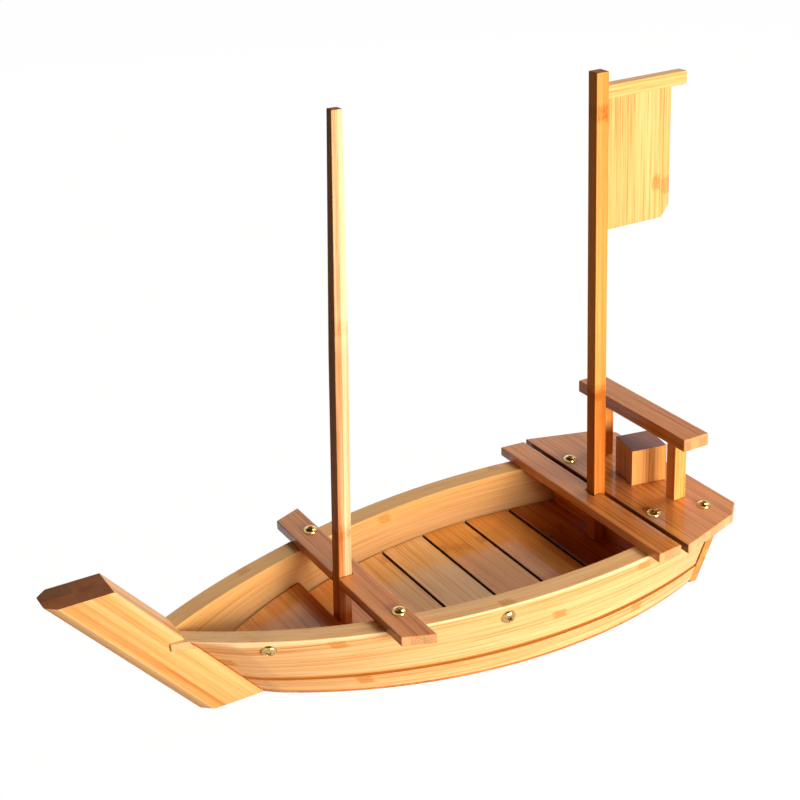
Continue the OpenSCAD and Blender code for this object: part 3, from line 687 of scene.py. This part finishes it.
def strake_tree():
    """A side plank: its section swept from the transom to the stem by the hull's rule."""
    t, put = new_tree("Strake", {**HULL, "Side": 1.0, "Upper": 1.0, "Rows": 200})
    hull = Lines(put)
    section = out(add(t, "GeometryNodeMeshToCurve", Mesh=put["Geometry"]))
    body = sweep(t, section, put["Rows"])
    depth, level, _ = parts_of(t, recall(t, "section"))
    s = recall(t, "share", "FLOAT")
    upper = put["Upper"]
    gap = upper * put["Strake Gap"]

    def station(z):
        return (hull.stern(z) + gap) * (1 - s) + hull.bow(z) * s

    at = station(put["Gunwale Height"])
    rim = upper * hull.sheer(at) + (1 - upper) * put["Seam Height"]
    knuckle = rim - upper * hull.facet(at) - (1 - upper) * put["Groove Height"]
    foot = upper * put["Seam Height"] + (1 - upper) * put["Bottom Thickness"]
    lift = smaller(level, 1.0)
    over = larger(level - 1, 0.0)
    z = foot + (knuckle - foot) * lift + (rim - knuckle) * over
    x = station(z)
    out_y = hull.outer(x, z)
    out_y = out_y + (hull.top(x) - out_y) * over * upper
    y = out_y + (hull.inner(x, z) - out_y) * (depth / put["Plank Thickness"])
    body = placed(t, body, vec(t, *metres(x, y * put["Side"], z)))
    along = s * STRAKE_L + put["Side"] * SIDE_GRAIN + upper * UPPER_GRAIN
    body = keep(t, body, "grain", vec(t, along, z * MM, depth * MM + GRAIN_SHIFT))
    # Painted shade: darker in the recess between the strakes, on the inner face and on the gunwale's top, there more
    # so to starboard
    inside = smaller(larger(depth - put["Plank Thickness"] + 1, 0.0), 1.0)
    under = smaller(depth / SKIN, 1.0)
    top = over * under * (0.34 - put["Side"] * 0.22)
    seam = (1 - upper) * under * lift + upper * (inside * 0.24 + top)
    body = keep(t, body, "seam", seam, "FLOAT")
    # Painted highlight on the facet's outer face
    planed = upper * smaller(over * 8, 1.0) * (1 - under)
    body = keep(t, body, "planed", planed, "FLOAT")
    close_tree(t, body, put["Material"])
    return t


def bend(a, p, b, steps=4):
    """Points on the curve from a to b that turns towards p."""
    return [a * (1 - f) ** 2 + p * 2 * f * (1 - f) + b * f * f for f in (i / steps for i in range(steps + 1))]


def rounded(points, radii):
    """Outline with each corner rounded by its own reach along the two axes, or left sharp where that is 0."""
    made = []
    n = len(points)
    for k, (p, r) in enumerate(zip(points, radii)):
        p = Vector(p)
        if r == 0:
            made.append(p)
            continue
        a, b = (p + Vector([math.copysign(min(abs(d), most), d) if d else 0 for d, most in zip(Vector(q) - p, r)])
                for q in (points[k - 1], points[(k + 1) % n]))
        made += bend(a, p, b)
    return made


def outline_mesh(points):
    mesh = bpy.data.meshes.new("section")
    n = len(points)
    mesh.from_pydata([(p[0], p[1], 0) for p in points], [(i, (i + 1) % n) for i in range(n)], [])
    return mesh


def tongue_mesh(side):
    """The tongue of an upper strake that laps the stem."""
    z = lines.sheer(lines.bow(GUNWALE))
    half = HULL["Stem Width"] / 2 + LAP_FIT

    def loop(level):
        x = lines.bow(z)
        rear = lines.bow(level) - LAP_BACK
        rim = lines.top(x)
        return [(px, py * side, level) for px, py in (
            (rear, half), (rear, lines.top(rear) - LAP_FIT), (x + LAP_FULL, rim),
            *((x + LAP_L * f, rim - (rim - half) * g) for f, g in LAP_CURVE))]

    return loft([loop(z - LAP_H), loop(z - LAP_UNDER)])


def recalc(mesh):
    """Joins doubled points and turns all faces outward."""
    bm = bmesh.new()
    bm.from_mesh(mesh)
    bmesh.ops.remove_doubles(bm, verts=bm.verts, dist=1e-6)
    bmesh.ops.recalc_face_normals(bm, faces=bm.faces)
    bm.to_mesh(mesh)
    bm.free()


def soften(obj):
    """Smooth shading that keeps broad faces flat and square corners sharp."""
    smooth(obj.data, SHARP_ABOVE)
    obj.modifiers.new("flat faces", "WEIGHTED_NORMAL").keep_sharp = True
    return settle(obj)


def make_strakes():
    tree = strake_tree()
    t = HULL["Plank Thickness"]
    upper = rounded([(0, 0), (0, 0.988), (0, 1.1), (0, 2), (t, 2), (t, 0)],
                    [(0.5, 0.012), 0, 0, (0.5, 0.16), (0.9, 0.3), (0.5, 0.012)])
    g = HULL["Groove Depth"] * t / lines.wall(HULL["Seam Height"])
    lower = rounded([(0, 0), (0, 1), (g, 1), (g, 2), (t, 2), (t, 0)],
                    [(0.5, 0.03), (0.5, 0.03), 0, 0, 0, (0.3, 0.02)])
    for side, word in SIDES:
        for is_upper, part, section in ((1.0, "upper", upper), (0.0, "lower", lower)):
            node = "%s_%s_strake" % (word, part)
            obj = new_object(node + "_wood", outline_mesh(section))
            run_tree(obj, tree, HULL_WOOD, Side=side, Upper=is_upper)
            recalc(obj.data)
            if is_upper:
                tongue = new_object("tongue", tongue_mesh(side))
                ease(tongue, 0.5)
                set_grain(tongue, X, Z, Y, start=side * SIDE_GRAIN + UPPER_GRAIN)
                # The whole lap is darkened a little towards the shade colour, which deepens its tone
                write(tongue.data, "seam", np.full(len(tongue.data.vertices), 0.2))
                bm = bmesh.new()
                bm.from_mesh(obj.data)
                bm.from_mesh(tongue.data)
                bm.to_mesh(obj.data)
                bm.free()
                bpy.data.objects.remove(tongue)
            soften(obj)
            hand_in(obj, node, HULL_WOOD)


make_strakes()


def slat_tree():
    """A floor slat with rounded long edges, its ends slanted to the hull, and a slot where a mast goes through."""
    t, put = new_tree("Floor slat", {
        "Front": 0.0, "Rear": -30.0, "Front Half": 60.0, "Rear Half": 60.0, "Top": FLOOR_H, "Thickness": SLAT_T,
        "Edge Radius": 0.5, "Rows": 9, "Has Slot": False, "Slot Front": 0.0, "Slot Rear": 0.0,
        "Slot Half": MAST_W / 2 + MAST_FIT})
    width = put["Front"] - put["Rear"]
    section = add(t, "GeometryNodeCurvePrimitiveQuadrilateral", Width=width, Height=put["Thickness"])
    section = add(t, "GeometryNodeFilletCurve", {"mode": "POLY"},
                  Curve=out(section), Radius=put["Edge Radius"], Count=4)
    slat = sweep(t, out(section), put["Rows"])
    px, pz, _ = parts_of(t, recall(t, "section"))
    s = recall(t, "share", "FLOAT") * 2 - 1
    x = (put["Front"] + put["Rear"]) / 2 + px
    slope = (put["Front Half"] - put["Rear Half"]) / width
    y = s * (put["Rear Half"] + (x - put["Rear"]) * slope)
    z = put["Top"] - put["Thickness"] / 2 + pz
    slat = placed(t, slat, vec(t, *metres(x, y, z)))
    # Painted shade on the slat's ends, which face the gaps between slats
    slat = keep(t, slat, "seam", fade(t, px.math("ABSOLUTE"), width / 2 - 0.45, width / 2 - 0.1), "FLOAT")
    slot_l = put["Slot Front"] - put["Slot Rear"]
    tool = out(add(t, "GeometryNodeMeshCube", Size=vec(t, slot_l * MM, put["Slot Half"] * 2 * MM, 0.04)))
    middle = vec(t, *metres((put["Slot Front"] + put["Slot Rear"]) / 2, 0.0, put["Top"]))
    tool = moved(t, tool, Translation=middle)
    pick = add(t, "GeometryNodeSwitch", {"input_type": "GEOMETRY"},
               Switch=put["Has Slot"], **{"False": slat, "True": cut_away(t, slat, tool)})
    close_tree(t, out(pick), put["Material"])
    return t


def make_slats():
    tree = slat_tree()
    z = FLOOR_H - SLAT_T
    half = SLAT_GAP / 2
    spans = [(FLOOR_FRONT, SLAT_CUTS[-1] + half)]
    spans += [(SLAT_CUTS[k] - half, SLAT_CUTS[k - 1] + half) for k in range(SLATS - 2, 0, -1)]
    spans += [(SLAT_CUTS[0] - half, DECK_X + LAST_SLAT_GAP)]
    lean = math.tan(math.radians(FORE_RAKE))
    fore = FORE_MAST_X + (THWART_TOP - FLOOR_H + SLAT_T / 2) * lean
    slots = {0: (fore + MAST_L / 2 + MAST_FIT + SLOT_SLACK, fore - MAST_L / 2 - MAST_FIT - SLOT_SLACK),
             SLATS - 1: (AFT_MAST_REAR + MAST_L + MAST_FIT, DECK_X - SLOT_PAST_DECK)}
    for i, (x1, x0) in enumerate(spans):
        node = "floor_slat_%d" % (i + 1)
        obj = new_object(node + "_wood", bpy.data.meshes.new("empty"))
        slot_front, slot_rear = slots.get(i, (0.0, 0.0))
        run_tree(obj, tree, SLAT_WOODS[i], Front=x1, Rear=x0, Front_Half=lines.inner(x1, z) - SLAT_SIDE_GAP,
                 Rear_Half=lines.inner(x0, z) - SLAT_SIDE_GAP, Has_Slot=i in slots, Slot_Front=slot_front,
                 Slot_Rear=slot_rear)
        recalc(obj.data)
        soften(obj)
        set_grain(obj, Y, X, Z, (x0, 0, z), SLAT_GRAIN_STEP * i)
        hand_in(obj, node, SLAT_WOODS[i])


make_slats()


def screw_tree():
    """Round-head screws with a cross recess, one on each point, square to the stored facing."""
    t, put = new_tree("Screws", {"Head Diameter": HEAD_D, "Head Height": HEAD_H, "Shank Diameter": SHANK_D,
                                 "Length": SCREW_L, "Recess Length": RECESS_L, "Recess Width": RECESS_W,
                                 "Recess Depth": RECESS_D, "Seed": 4})
    ball = out(add(t, "GeometryNodeMeshUVSphere", Segments=40, Rings=22, Radius=1.0))
    x, y, z = parts_of(t, out(add(t, "GeometryNodeInputPosition")))
    r = put["Head Diameter"] / 2 * MM
    dome = vec(t, x * r, y * r, power(larger(z, 0.0), 0.85) * put["Head Height"] * MM)
    head = placed(t, ball, dome)
    # The recess has two crossed wings that narrow downwards
    wing = add(t, "GeometryNodeMeshCone", {"fill_type": "NGON"}, Vertices=4,
               Radius_Top=put["Recess Length"] * 0.80 * MM, Radius_Bottom=put["Recess Length"] * 0.22 * MM,
               Depth=put["Recess Depth"] * 2 * MM)
    wing = moved(t, out(wing), Rotation=(0, 0, math.radians(45)))
    thin = vec(t, 1.0, put["Recess Width"] / put["Recess Length"], 1.0)
    lift = vec(t, 0.0, 0.0, (put["Head Height"] - put["Recess Depth"]) * MM)
    flat = moved(t, wing, Scale=thin, Translation=lift)
    wings = [moved(t, flat, Rotation=(0, 0, math.radians(turn))) for turn in (0, 90)]
    head = cut_away(t, head, join(t, *wings), crossed=True)
    shank = add(t, "GeometryNodeMeshCylinder", Vertices=20, Radius=put["Shank Diameter"] / 2 * MM,
                Depth=put["Length"] * MM)
    # The shank's top reaches a little into the head
    down = vec(t, 0.0, 0.0, put["Length"] * (-0.5 * MM) + 0.0002)
    whole = join(t, moved(t, out(shank), Translation=down), head)
    # Each screw stops at its own turn
    spin = add(t, "FunctionNodeRandomValue", {"data_type": "FLOAT"}, Seed=put["Seed"])
    feed(t, spin.inputs[2], 0.0)
    feed(t, spin.inputs[3], 1.5)
    turn = add(t, "FunctionNodeAxisAngleToRotation", Axis=(0, 0, 1), Angle=out(spin, 1))
    stand = add(t, "FunctionNodeAlignRotationToVector", {"axis": "Z"}, Rotation=out(turn), Vector=recall(t, "facing"))
    on = add(t, "GeometryNodeInstanceOnPoints", Points=put["Geometry"], Instance=whole, Rotation=out(stand))
    close_tree(t, out(on), put["Material"])
    return t


def make_screws():
    tree = screw_tree()

    def both(points):
        return [((x, y * s, z), (nx, ny * s, nz)) for (x, y, z), (nx, ny, nz) in points for s in (1, -1)]

    def on_side(x, z):
        # The slope over a millimetre gives the way that the head faces
        dx = lines.side(x + 0.5, z) - lines.side(x - 0.5, z)
        dz = lines.side(x, z + 0.5) - lines.side(x, z - 0.5)
        n = Vector((-dx, 1, -dz)).normalized()
        p = Vector((x, lines.side(x, z), z)) - n * SIDE_SCREW_SINK
        return tuple(p), tuple(n)

    # The deck's screws go into the bulkhead and the transom
    deck_x1 = DECK_X - BULKHEAD_T / 2 - DECK_SCREW_BACK
    deck_x2 = HULL["Transom Foot"] + HULL["Transom Thickness"] / 2 - TRANSOM_SCREW_BACK
    deck_x2 -= (GUNWALE - TRANSOM_SCREW_DROP) * lines.rake_run
    groups = {
        "thwart_screws": (both([((FORE_THWART_X - THWART_SCREW_BACK, THWART_SCREW_Y, THWART_TOP), Z)]), SCREW_L, 4),
        "deck_screws": (both([((deck_x1, DECK_SCREW_Y1, THWART_TOP), Z), ((deck_x2, DECK_SCREW_Y2, THWART_TOP), Z)]),
                        SCREW_L, 9),
        "side_screws": (both([on_side(*p) for p in SIDE_SCREWS]), SIDE_SCREW_L, 2),
    }
    for node, (seats, length, seed) in groups.items():
        mesh = bpy.data.meshes.new("seats")
        mesh.from_pydata([metres(*place) for place, _ in seats], [], [])
        write(mesh, "facing", [v for _, facing in seats for v in facing], "FLOAT_VECTOR")
        obj = new_object(node + "_brass", mesh)
        run_tree(obj, tree, BRASS, Length=length, Seed=seed)
        smooth(obj.data, BRASS_SHARP_ABOVE)
        hand_in(obj, node, BRASS)


make_screws()


# Hull boards
def make_bottom_board():
    r = HULL["Bottom Radius"] - BOTTOM_INSET
    xs, xb = lines.stern(0), lines.bow(0)
    lip = HULL["Stem Width"] / 2 - STEM_LIP
    port = []
    stations = 60
    for i in range(stations + 1):
        x = xs + (xb - xs) * i / stations
        y = HULL["Half Bottom"] - HULL["Bottom Radius"] + math.sqrt(r * r - (x - HULL["Bottom Apex"]) ** 2)
        port.append((x, min(y, lip + PARE * (xb - x))))
    board("bottom_board", plan(mirrored(port), 0, HULL["Bottom Thickness"]), KEEL_WOOD, X, Y, Z, (0, 0, 0))


def make_stem():
    a = math.radians(HULL["Stem Angle"])
    half = HULL["Stem Width"] / 2
    deep, cross = Vector((math.sin(a), 0, -math.cos(a))), Vector((0, 1, 0))
    rise = Vector((math.cos(a), 0, math.sin(a)))
    foot = Vector((HULL["Stem Foot"], 0, 0))
    corners = [(0, -half), (STEM_D - STEM_BEVEL_D, -half), (STEM_D, -half + STEM_BEVEL_W),
               (STEM_D, half - STEM_BEVEL_W), (STEM_D - STEM_BEVEL_D, half), (0, half)]
    section = [corners[0]]
    for k in range(1, 5):
        before, at, after = (Vector(corners[i]) for i in (k - 1, k, k + 1))
        start = at + (before - at).normalized() * STEM_ROUND
        stop = at + (after - at).normalized() * STEM_ROUND
        section += bend(start, at, stop)
    section.append(corners[5])

    def loop(z):
        return [tuple(foot + deep * u + cross * v + rise * ((z + u * math.cos(a)) / math.sin(a))) for u, v in section]

    board("stem_post", [loop(0), loop(STEM_H)], STEM_WOOD, rise, deep, cross, (HULL["Stem Foot"], half, 0))


def make_transom():
    top = lines.side(lines.stern(GUNWALE), GUNWALE) + TRANSOM_LIP
    foot = lines.side(lines.stern(0), 0) + TRANSOM_FOOT_LIP
    run = HULL["Transom Thickness"] / math.cos(math.radians(HULL["Transom Rake"]))
    x0 = HULL["Transom Foot"]
    x1 = x0 - GUNWALE * lines.rake_run
    aft = [(x0, -foot, 0), (x0, foot, 0), (x1, top, GUNWALE), (x1, -top, GUNWALE)]
    obj = board("transom", [aft, [(x + run, y, z) for x, y, z in aft]], HULL_WOOD, Y, Z, X, (x0, 0, 0))
    # Painted shade on the transom's front face, in the slit behind the strakes' ends
    paint_gap_shade(obj, lambda x, y, z: x + z * lines.rake_run - x0 - run)


def make_bulkhead():
    rear = DECK_X - BULKHEAD_T
    heights = [HULL["Bottom Thickness"], HULL["Seam Height"], GUNWALE - BULKHEAD_NECK, GUNWALE]
    halves = [lines.inner(rear, z) - SLAT_SIDE_GAP for z in heights[:3]]
    halves.append(halves[2])
    port = list(zip(halves, heights))
    points = port + [(-y, z) for y, z in reversed(port)]
    loops = [[(x, y, z) for y, z in points] for x in (rear, DECK_X)]
    # The bulkhead takes the last slat's wood, with its painted shade
    board("aft_bulkhead", loops, SLAT_WOODS[-1], Y, Z, X, (rear, 0, 0))


def make_battens():
    top = FLOOR_H - SLAT_T
    step = FLOOR_FRONT + BATTEN_STEP_GAP
    lift = BOW_DECK_H - SLAT_T
    low = HULL["Bottom Thickness"]
    front, rear = step + BATTEN_STEP_L, DECK_X + BATTEN_END_GAP
    side = [(rear, low), (front, low), (front, lift), (step, lift), (step, top), (rear, top)]
    for sign, word in SIDES:
        y0, y1 = sign * BATTEN_Y - BATTEN_W / 2, sign * BATTEN_Y + BATTEN_W / 2
        board(word + "_batten", profile(side, y0, y1), DECK_WOOD, X, Y, Z, (0, y0, 0))


def make_bow_deck():
    z = BOW_DECK_H - SLAT_T
    tip = lines.bow(z) - BOW_DECK_TIP_GAP
    stations = 24
    xs = [BOW_DECK_X + (tip - BOW_DECK_X) * i / stations for i in range(stations + 1)]
    port = [(x, max(lines.inner(x, z) - SLAT_SIDE_GAP, BOW_DECK_TIP_HALF)) for x in xs]
    board("bow_deck", plan(mirrored(port), z, BOW_DECK_H), SLAT_WOODS[0], Y, X, Z, (BOW_DECK_X, 0, z))


def make_thwarts():
    front, rear = FORE_THWART_X + FORE_THWART_W / 2, FORE_THWART_X - FORE_THWART_W / 2
    half = MAST_W / 2 + MAST_FIT
    lean = math.radians(FORE_RAKE)

    def fore(z):
        notch = FORE_MAST_X + (THWART_TOP - z) * math.tan(lean) - (MAST_L / 2 + MAST_FIT) / math.cos(lean)
        return [(front, FORE_THWART_FRONT, z), (rear, FORE_THWART_REAR, z), (rear, -FORE_THWART_REAR, z),
                (front, -FORE_THWART_FRONT, z), (front, -half, z), (notch, -half, z), (notch, half, z),
                (front, half, z)]

    board("fore_thwart", [fore(GUNWALE), fore(THWART_TOP)], DECK_WOOD, Y, X, Z, (rear, 0, GUNWALE))
    rear = DECK_X + DECK_GAP
    front = rear + AFT_THWART_W
    notch = AFT_MAST_REAR + MAST_L + AFT_SLACK
    port = [(front, AFT_THWART_FRONT), (rear, AFT_THWART_REAR), (rear, half), (notch, half)]
    obj = board("aft_thwart", plan(mirrored(port), GUNWALE, THWART_TOP), DECK_WOOD, Y, X, Z, (rear, 0, GUNWALE))
    # Painted shade on the thwart's rear face, over the gap to the deck, and in the mast's notch
    paint_gap_shade(obj, lambda x, y, z: np.minimum(np.abs(x - rear), np.abs(x - notch)))


def make_stern_deck():
    rear = DECK_X - DECK_L
    port = [(DECK_X, DECK_FRONT), (rear + DECK_CUT, DECK_SIDE), (rear, DECK_REAR)]
    obj = board("stern_deck", plan(mirrored(port), GUNWALE, THWART_TOP), DECK_WOOD, Y, X, Z, (rear, 0, GUNWALE))
    # The painted shade of the gap grows weaker towards the top
    paint_gap_shade(obj, lambda x, y, z: np.abs(x - DECK_X) + 0.36 * (z - GUNWALE) / (THWART_TOP - GUNWALE))


def make_rail():
    h = POST_S / 2
    z = THWART_TOP + POST_H
    for word, y in (("port", PORT_POST_Y), ("starboard", -STARBOARD_POST_Y)):
        board(word + "_rail_post", box(POST_X - h, POST_X + h, y - h, y + h, THWART_TOP, z), POST_WOOD,
              Z, X, Y, (POST_X - h, y - h, 0))
    x0, x1 = RAIL_X - RAIL_W / 2, RAIL_X + RAIL_W / 2
    board("rail_bar", box(x0, x1, -RAIL_L / 2, RAIL_L / 2, z, z + RAIL_T), RAIL_WOOD, Y, X, Z, (x0, 0, z))


def make_block():
    turn = math.radians(BLOCK_TURN)
    h = BLOCK_S / 2
    c, s = math.cos(turn), math.sin(turn)
    points = [(POST_X + x * c - y * s, BLOCK_Y + x * s + y * c) for x, y in ((-h, -h), (h, -h), (h, h), (-h, h))]
    board("deck_block", plan(points, THWART_TOP, THWART_TOP + BLOCK_H), BLOCK_WOOD, Z, (c, s, 0), (-s, c, 0),
          (*points[0], 0))


# Masts and flag
def make_fore_mast():
    lean = math.radians(FORE_RAKE)
    ahead, up = Vector((math.cos(lean), 0, math.sin(lean))), Vector((-math.sin(lean), 0, math.cos(lean)))
    seat = Vector((FORE_MAST_X, 0, THWART_TOP))
    run = (FORE_MAST_H - THWART_TOP) / math.cos(lean)
    low = HULL["Bottom Thickness"]

    def loop(half_l, half_w, t=None):
        made = []
        for sx, sy in ((-1, -1), (1, -1), (1, 1), (-1, 1)):
            at = t if t is not None else (low - THWART_TOP - sx * half_l * math.sin(lean)) / math.cos(lean)
            made.append(tuple(seat + ahead * (sx * half_l) + Vector((0, sy * half_w, 0)) + up * at))
        return made

    a, b = MAST_L / 2, MAST_W / 2
    loops = [loop(a, b), loop(a, b, run / 2), loop(FORE_TIP_L / 2, FORE_TIP_W / 2, run)]
    board("fore_mast", loops, FORE_MAST_WOOD, up, ahead, Y, (FORE_MAST_X - a, -b, THWART_TOP), "fore_mast")


def make_aft_mast():
    b = MAST_W / 2
    board("aft_mast", box(AFT_MAST_REAR, AFT_MAST_REAR + MAST_L, -b, b, HULL["Bottom Thickness"], AFT_MAST_H),
          MAST_WOOD, Z, X, Y, (AFT_MAST_REAR, -b, 0), "aft_mast")
    t = YARD_T / 2
    board("flag_yard", box(AFT_MAST_REAR - YARD_L, AFT_MAST_REAR, -t, t, YARD_Z, YARD_Z + YARD_H), YARD_WOOD,
          X, Z, Y, (AFT_MAST_REAR, -t, YARD_Z), "aft_mast")
    front, rear = AFT_MAST_REAR - FLAG_GAP, AFT_MAST_REAR - FLAG_L
    head, foot = YARD_Z + FLAG_TONGUE, YARD_Z - FLAG_DROP
    points = [(front, head), (rear, head), (rear, foot + FLAG_CUT_H), (rear + FLAG_CUT_L, foot), (front, foot)]
    t = FLAG_T / 2
    board("flag_board", profile(points, -t, t), FLAG_WOOD, Z, X, Y, (rear, -t, 0), "aft_mast")


for make in (make_bottom_board, make_stem, make_transom, make_bulkhead, make_battens, make_bow_deck, make_thwarts,
             make_stern_deck, make_rail, make_block, make_fore_mast, make_aft_mast):
    make()


# Studio
def seen(t):
    """1 for rays that show the background itself, 0 for those that carry its light."""
    path = add(t, "ShaderNodeLightPath")
    total = out(path, "Is Camera Ray") + out(path, "Is Glossy Ray") + out(path, "Is Transmission Ray")
    return smaller(total, 1.0)


def make_world(fill):
    world = bpy.data.worlds.new("studio")
    world.use_nodes = True
    t = world.node_tree
    back = t.nodes["Background"]
    _, _, height = parts_of(t, out(add(t, "ShaderNodeTexCoord"), "Generated"))
    room = ramp(t, fade(t, height, 0.46, 0.82), [(0, (1, 1, 1)), (1, (0.04, 0.04, 0.04))])
    connect(back, Color=mix(t, seen(t), fill, room), Strength=1.0)
    scene.world = world


def make_floor():
    half, drop = 8, -0.0003
    mesh = bpy.data.meshes.new("floor")
    corners = [(x * half, y * half, drop) for x, y in ((-1, -1), (1, -1), (1, 1), (-1, 1))]
    mesh.from_pydata(corners, [], [(0, 1, 2, 3)])
    floor = new_object("floor", mesh)
    m, t, shader = new_material("floor_white")
    connect(shader, Base_Color=(0.29, 0.225, 0.165, 1), Roughness=0.9, Specular_IOR_Level=0.0)
    glow = add(t, "ShaderNodeEmission", Color=(1, 1, 1, 1), Strength=1.10)
    blend = t.nodes.new("ShaderNodeMixShader")
    for socket, value in zip(blend.inputs, (seen(t) * 0.9, out(shader), out(glow))):
        feed(t, socket, value)
    connect(t.nodes["Material Output"], Surface=out(blend))
    mesh.materials.append(m)


def make_lamp(name, place, aim, size, watts, colour=(1, 1, 1)):
    data = bpy.data.lights.new(name, "AREA")
    data.shape = "RECTANGLE"
    data.size, data.size_y = size
    data.energy = watts
    data.color = colour
    lamp = new_object(name, data)
    lamp.location = place
    lamp.rotation_euler = (Vector(aim) - Vector(place)).to_track_quat("-Z", "Y").to_euler()


make_world((0.013, 0.0055, 0.0016))
make_floor()
make_lamp("key", place=(-0.235, 1.2, 0.24), aim=(0, 0, 0.08), size=(0.72, 0.5), watts=27.2,
          colour=(1.0, 0.97, 0.94))
make_lamp("top", place=(-0.9, -0.1, 1.3), aim=(0, 0, 0.05), size=(0.7, 0.7), watts=11.4)
make_lamp("rim", place=(-0.7, -1.5, 0.40), aim=(0, 0, 0.10), size=(1.2, 0.5), watts=2.2)
